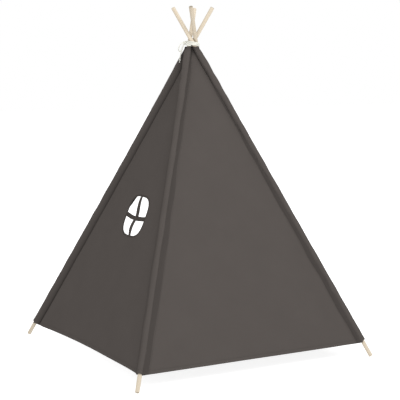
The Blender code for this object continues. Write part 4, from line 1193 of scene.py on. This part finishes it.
PLEATS = 6
for side, word in ((1, "right"), (-1, "left")):
    leg, carrier, edge_body = f"leg_front_{word}", f"flap_side_{word}", f"flap_edge_{word}"
    corner = f"front_{word}"
    # narrow cloth beside the pocket, with the pocket's flank
    ups = hem_rows(HEM, DOOR_APEX, 0.0125)
    up = ups[:, None]
    x_b = (DOOR_APEX - up) * math.tan(DOOR_ANGLE) + DOOR_BAND / math.cos(DOOR_ANGLE)
    w = half_width(ups)[:, None]
    x_e = w - (POCKET_OUTER - 0.0012) * 0.96 / COS_FAN
    s = np.linspace(0, 1, 22)[None]
    x = x_b - 0.0004 + np.maximum(x_e - x_b, 0.001) * s
    dist = (w - x) * COS_FAN
    seam = seam_distance("front", ups)[:, None]
    free = ease((dist - seam) / 0.04) * ease(s / 0.15)
    off = -PANEL_INSET + free * 0.0011 * waves(x, up, 31 + side, 4.0) + 0.0006 * (up < HEM + 0.016)
    P = panel_map("front", side * x, up + 0 * s, off)
    N = unit_rows(np.cross(np.gradient(P, axis=0), np.gradient(P, axis=1)))
    if float((N * OUTW).sum()) < 0:
        N = -N
    b = Build()
    # painted shade: slightly darker beside the seams
    S = np.ones(P.shape[:2]) * (1 - 0.06 * ease(1 - (dist - seam) / 0.004) * (dist > seam - 0.002))
    b.sheet(P, N, 0.0010, x, up + 0 * s, S)
    flank(b, "front", side, hem_rows(HEM, DOOR_APEX - 0.004, 0.0125), 91 + side)
    strip = b.object(f"front_strip_{word}_sewn", [cloth, thread], 40)
    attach(strip, leg)
    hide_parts(f"front_strip_{word}")
    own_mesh(strip)

    # the flap: gathered aside in folds that spread evenly when it is drawn across
    cols = PLEATS * 18 + 1
    q = np.linspace(0, 1, cols)                # share of the swing that each column takes
    lin = np.linspace(0, 1, 4001)
    share = lin * lin * (3 - 2 * lin)
    pos = np.interp(q, share, lin)             # 0 at the border, 1 at the free edge's hem
    out = (DOOR_BAND - (DOOR_BAND - DOOR_HEM) * pos)[None]
    v = np.unique(np.r_[0, 0.001, np.linspace(0.01, 0.982, 74), 0.984, 0.9855, 0.992, 1.0])[:, None]
    down = to_top(out) + 0.0005 + (to_end(out, q[None]) - to_top(out) - 0.0005) * v
    frac = down / LONGEST
    depth = 0.0028 + 0.0174 * frac ** 0.9
    cinch = 1 - 0.50 * np.exp(-((down - TIE_DOWN) / 0.035) ** 2)
    flare = 1 + 0.20 * ease((down - TIE_DOWN - 0.03) / 0.15)
    # the bundle of folds is rounded, fullest in its middle
    amp = depth * cinch * flare * (0.30 + 0.70 * np.sin(math.pi * q[None]) ** 0.7) \
        * np.minimum(1, np.minimum(q, 1 - q)[None] * 9) ** 0.6
    middle = np.sin(math.pi * q[None])
    ph = 2 * math.pi * PLEATS * q[None] + 0.55 * waves(down, 0 * q[None], 41 + side, 1.4) * middle \
        + 0.55 * waves(0 * down, q[None], 43 + side, 2.4) * middle
    fold = np.sin(ph) * (1 + 0.26 * waves(down * 0.6, q[None] * 2.2, 45 + side, 1.3)) * 0.92
    off = amp * np.clip(fold, -1.25, 1.25)
    # every fold is a rounded loop, narrower at its neck
    at_q = np.clip(q[None] - 0.115 / PLEATS * np.sin(2 * ph) * np.minimum(1, np.minimum(q, 1 - q)[None] * 8), 0, 1)
    out = DOOR_BAND - (DOOR_BAND - DOOR_HEM) * np.interp(at_q, share, lin)
    down = to_top(out) + 0.0005 + (to_end(out, at_q) - to_top(out) - 0.0005) * v
    P = door_map(side, out, down, off)
    N = unit_rows(np.cross(np.gradient(P, axis=0), np.gradient(P, axis=1)))
    if float((N * OUTW).sum()) < 0:
        N = -N
    b = Build()
    cloth_u = np.r_[0, np.cumsum(np.linalg.norm(np.diff(P[-1], axis=0), axis=1))][None]
    # painted shade: darker in the hollows between the folds
    S = 0.80 + 0.20 * ease((fold + 1.0) / 1.4) + 0 * down
    b.sheet(P, N, 0.0008, cloth_u + 0 * down, down, S)
    flap = b.object(f"door_flap_{word}_gathered", [cloth, thread], 60)
    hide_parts(f"door_flap_{word}")
    mid = 0.45
    start = door_map(side, DOOR_BAND, mid)
    reach = door_map(side, DOOR_HEM, mid) - start      # taken square to the border, which then stays with the strip all along
    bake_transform(flap)

    # hem along the free edge
    v = np.unique(np.r_[0, 0.002, np.linspace(0.01, 0.99, 80), 0.998, 1.0])[:, None]
    o_ = np.array([0.0, 0.0006, 0.0020, 0.0050, 0.0080, 0.0105, 0.0122])[None]
    down = to_top(o_) + 0.0005 + (to_end(o_, 1.0) - to_top(o_) - 0.0005) * v
    thick = np.array([0.0006, 0.0019, 0.0025, 0.0024, 0.0023, 0.0022, 0.0012])[None] + 0 * v
    off = 0.0013 * waves(down, 0 * o_, 51 + side, 3.0) * ease(v / 0.1) + 0.00025 * waves(down, o_, 55 + side, 24.0)
    P = door_map(side, o_ + 0 * v, down, off)
    b = Build()
    # painted shade: the whole hem is darkened to 0.62 of the cloth's colour
    b.sheet(P, OUTW, thick, o_ + 0 * v, down, 0.62 + 0 * down)
    for e in (5,):
        b.stitches(P[1:-1, e] + OUTW * 0.0012, OUTW)
        b.stitches(P[1:-1, e] - OUTW * 0.0012, -OUTW)
    hem = b.object(f"door_hem_{word}_sewn", [cloth, thread], 50)
    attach(hem, edge_body)
    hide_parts(f"door_hem_{word}")

    # the tie: a tape out of the pocket seam, round the gathered flap and back
    seam_x = (half_width(np.array(DOOR_TIE_HEIGHT)) - seam_distance("front", np.array(DOOR_TIE_HEIGHT)) / COS_FAN
              - (DOOR_APEX - DOOR_TIE_HEIGHT) * math.tan(DOOR_ANGLE)) * math.cos(DOOR_ANGLE)
    depth = 0.0105
    path = np.array([(float(seam_x) - 0.0012, 0.0026), (DOOR_BAND + 0.006, depth * 0.72), (DOOR_BAND * 0.75, depth),
                     (DOOR_BAND * 0.40, depth * 0.95), (0.006, depth * 0.66), (-0.0030, depth * 0.36), (-0.0055, 0.0)])
    path = np.vstack([path, path[-2::-1] * (1, -1)])
    smooth = smooth_route(np.c_[path, np.zeros(len(path))], 72)[:, :2]
    tg = np.gradient(smooth, axis=0)
    tg /= np.linalg.norm(tg, axis=1, keepdims=True)
    nn = np.stack([-tg[:, 1], tg[:, 0]], 1)
    wv = np.linspace(-1, 1, 9)[None]
    arc = np.r_[0, np.cumsum(np.linalg.norm(np.diff(smooth, axis=0), axis=1))][:, None]
    rumple = 0.0004 * waves(arc, wv * 0.006, 61 + side, 60.0) + 0.0005 * np.cos(wv * 2.2)
    oo = smooth[:, :1] + nn[:, :1] * rumple
    ff = smooth[:, 1:] + nn[:, 1:] * rumple
    half_t = 0.0068 * (1 - 0.12 * np.exp(-((arc - arc.max() / 2) / 0.01) ** 2))
    dn = TIE_DOWN + wv * half_t + 0.0012 * np.sin(arc * 60)
    P = door_map(side, oo + 0 * wv, dn, ff)
    N3 = unit_rows(np.cross(np.gradient(P, axis=0), np.gradient(P, axis=1)))
    b = Build()
    b.sheet(P, N3, 0.0009, wv * half_t, arc + 0 * wv)
    tie = b.object(f"door_tie_{word}_looped", [tape, thread], 60)
    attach(tie, carrier)
    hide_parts(f"door_tie_{word}")
    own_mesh(tie)

    # its bow, on the pocket seam: two loops, two tails and the knot between them
    cx = float(half_width(np.array(DOOR_TIE_HEIGHT)) - seam_distance("front", np.array(DOOR_TIE_HEIGHT)) / COS_FAN) - 0.016

    def bow_point(x, y, z):
        return panel_map("front", side * (cx + np.asarray(x)), DOOR_TIE_HEIGHT + np.asarray(y), -PANEL_INSET + 0.0060 + np.asarray(z))

    b = Build()
    for k, (pts, wid) in enumerate((
            ([(0.002, 0.0, 0.0), (0.013, 0.006, 0.0035), (0.026, 0.009, 0.003), (0.031, 0.003, 0.0), (0.025, -0.003, -0.0025),
              (0.012, -0.001, -0.002), (0.002, -0.001, -0.0005)], 0.0045),
            ([(-0.002, 0.0, 0.0), (-0.012, 0.005, 0.003), (-0.025, 0.007, 0.003), (-0.030, 0.001, 0.0), (-0.024, -0.005, -0.0025),
              (-0.012, -0.003, -0.002), (-0.002, -0.001, -0.0005)], 0.0045),
            ([(0.001, -0.002, 0.0), (0.005, -0.014, 0.001), (0.009, -0.032, -0.001), (0.0125, -0.048, -0.0025), (0.014, -0.062, -0.004)], 0.0048),
            ([(-0.001, -0.002, 0.0), (-0.006, -0.013, 0.001), (-0.008, -0.030, -0.001), (-0.013, -0.046, -0.0025), (-0.0125, -0.060, -0.004)], 0.0048))):
        line = smooth_route(pts, 40)
        tg = unit_rows(np.gradient(line, axis=0))
        zed = np.array([0.0, 0.0, 1.0])
        if k < 2:       # loops stand on edge, tails lie flat
            wide = unit_rows(np.cross(tg, zed) * 0.55 + np.array([0, 0.0, 0.85]) * 0 + np.array([0.0, 1.0, 0.0]) * 0.6)
        else:
            wide = unit_rows(np.cross(tg, zed))
        wv = np.linspace(-1, 1, 7)[None, :, None]
        Q = line[:, None] + wide[:, None] * wv * wid
        P = bow_point(Q[..., 0], Q[..., 1], Q[..., 2] + 0.0004 * np.cos(wv[..., 0] * 2))
        N3 = unit_rows(np.cross(np.gradient(P, axis=0), np.gradient(P, axis=1)))
        lv = np.linspace(0, 0.07, 40)[:, None]
        b.sheet(P, N3, 0.0009, wv[..., 0] * wid + 0 * lv, lv + 0 * wv[..., 0])
    kk = np.linspace(0, 2 * math.pi, 24)
    line = np.stack([0.0030 * np.cos(kk), 0.0010 + 0 * kk, 0.0034 * np.sin(kk)], 1)
    wv = np.linspace(-1, 1, 7)[None, :, None]
    Q = line[:, None] + np.array([0.0, 1.0, 0.0]) * wv * 0.0042
    P = bow_point(Q[..., 0], Q[..., 1], Q[..., 2])
    N3 = unit_rows(P - P.mean(0)[None])
    lv = np.linspace(0, 0.02, 24)[:, None]
    b.sheet(P, N3, 0.0014, wv[..., 0] * 0.004 + 0 * lv, lv + 0 * wv[..., 0])
    bow = b.object(f"door_bow_{word}_tied", [tape, thread], 60)
    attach(bow, leg)
    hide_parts(f"door_bow_{word}")

# ------------------------------------------------------------------ floor, light and air
bm = bmesh.new()
bmesh.ops.create_grid(bm, x_segments=8, y_segments=8, size=30.0)
me = bpy.data.meshes.new("floor")
bm.to_mesh(me)
bm.free()
floor = bpy.data.objects.new("floor", me)
bpy.context.scene.collection.objects.link(floor)
floor.location = (0, 0, -0.0005)
fm, fnt, fb = base_material("floor_white", (0.50, 0.50, 0.50), 0.9)
fb.inputs["Emission Color"].default_value = (1.0, 1.0, 1.0, 1)
fb.inputs["Emission Strength"].default_value = 0.84
fb.inputs["Specular IOR Level"].default_value = 0.0
me.materials.append(fm)

world = bpy.data.worlds.new("studio")
bpy.context.scene.world = world
world.use_nodes = True
bg = world.node_tree.nodes["Background"]
bg.inputs["Color"].default_value = (1.0, 1.0, 1.0, 1)
bg.inputs["Strength"].default_value = 1.0


def area(name, place, target, size, power):
    ld = bpy.data.lights.new(name, "AREA")
    ld.shape, ld.size, ld.energy = "DISK", size, power
    o = bpy.data.objects.new(name, ld)
    bpy.context.scene.collection.objects.link(o)
    o.location = place
    o.rotation_mode = "QUATERNION"
    o.rotation_quaternion = (Vector(target) - Vector(place)).to_track_quat("-Z", "Y")
    return o


area("key", (0.36, 4.07, 4.38), (0, 0, 0.7), 2.4, 149.0)
area("fill", (-3.4, -3.8, 2.4), (0, 0, 0.7), 2.0, 60.0)
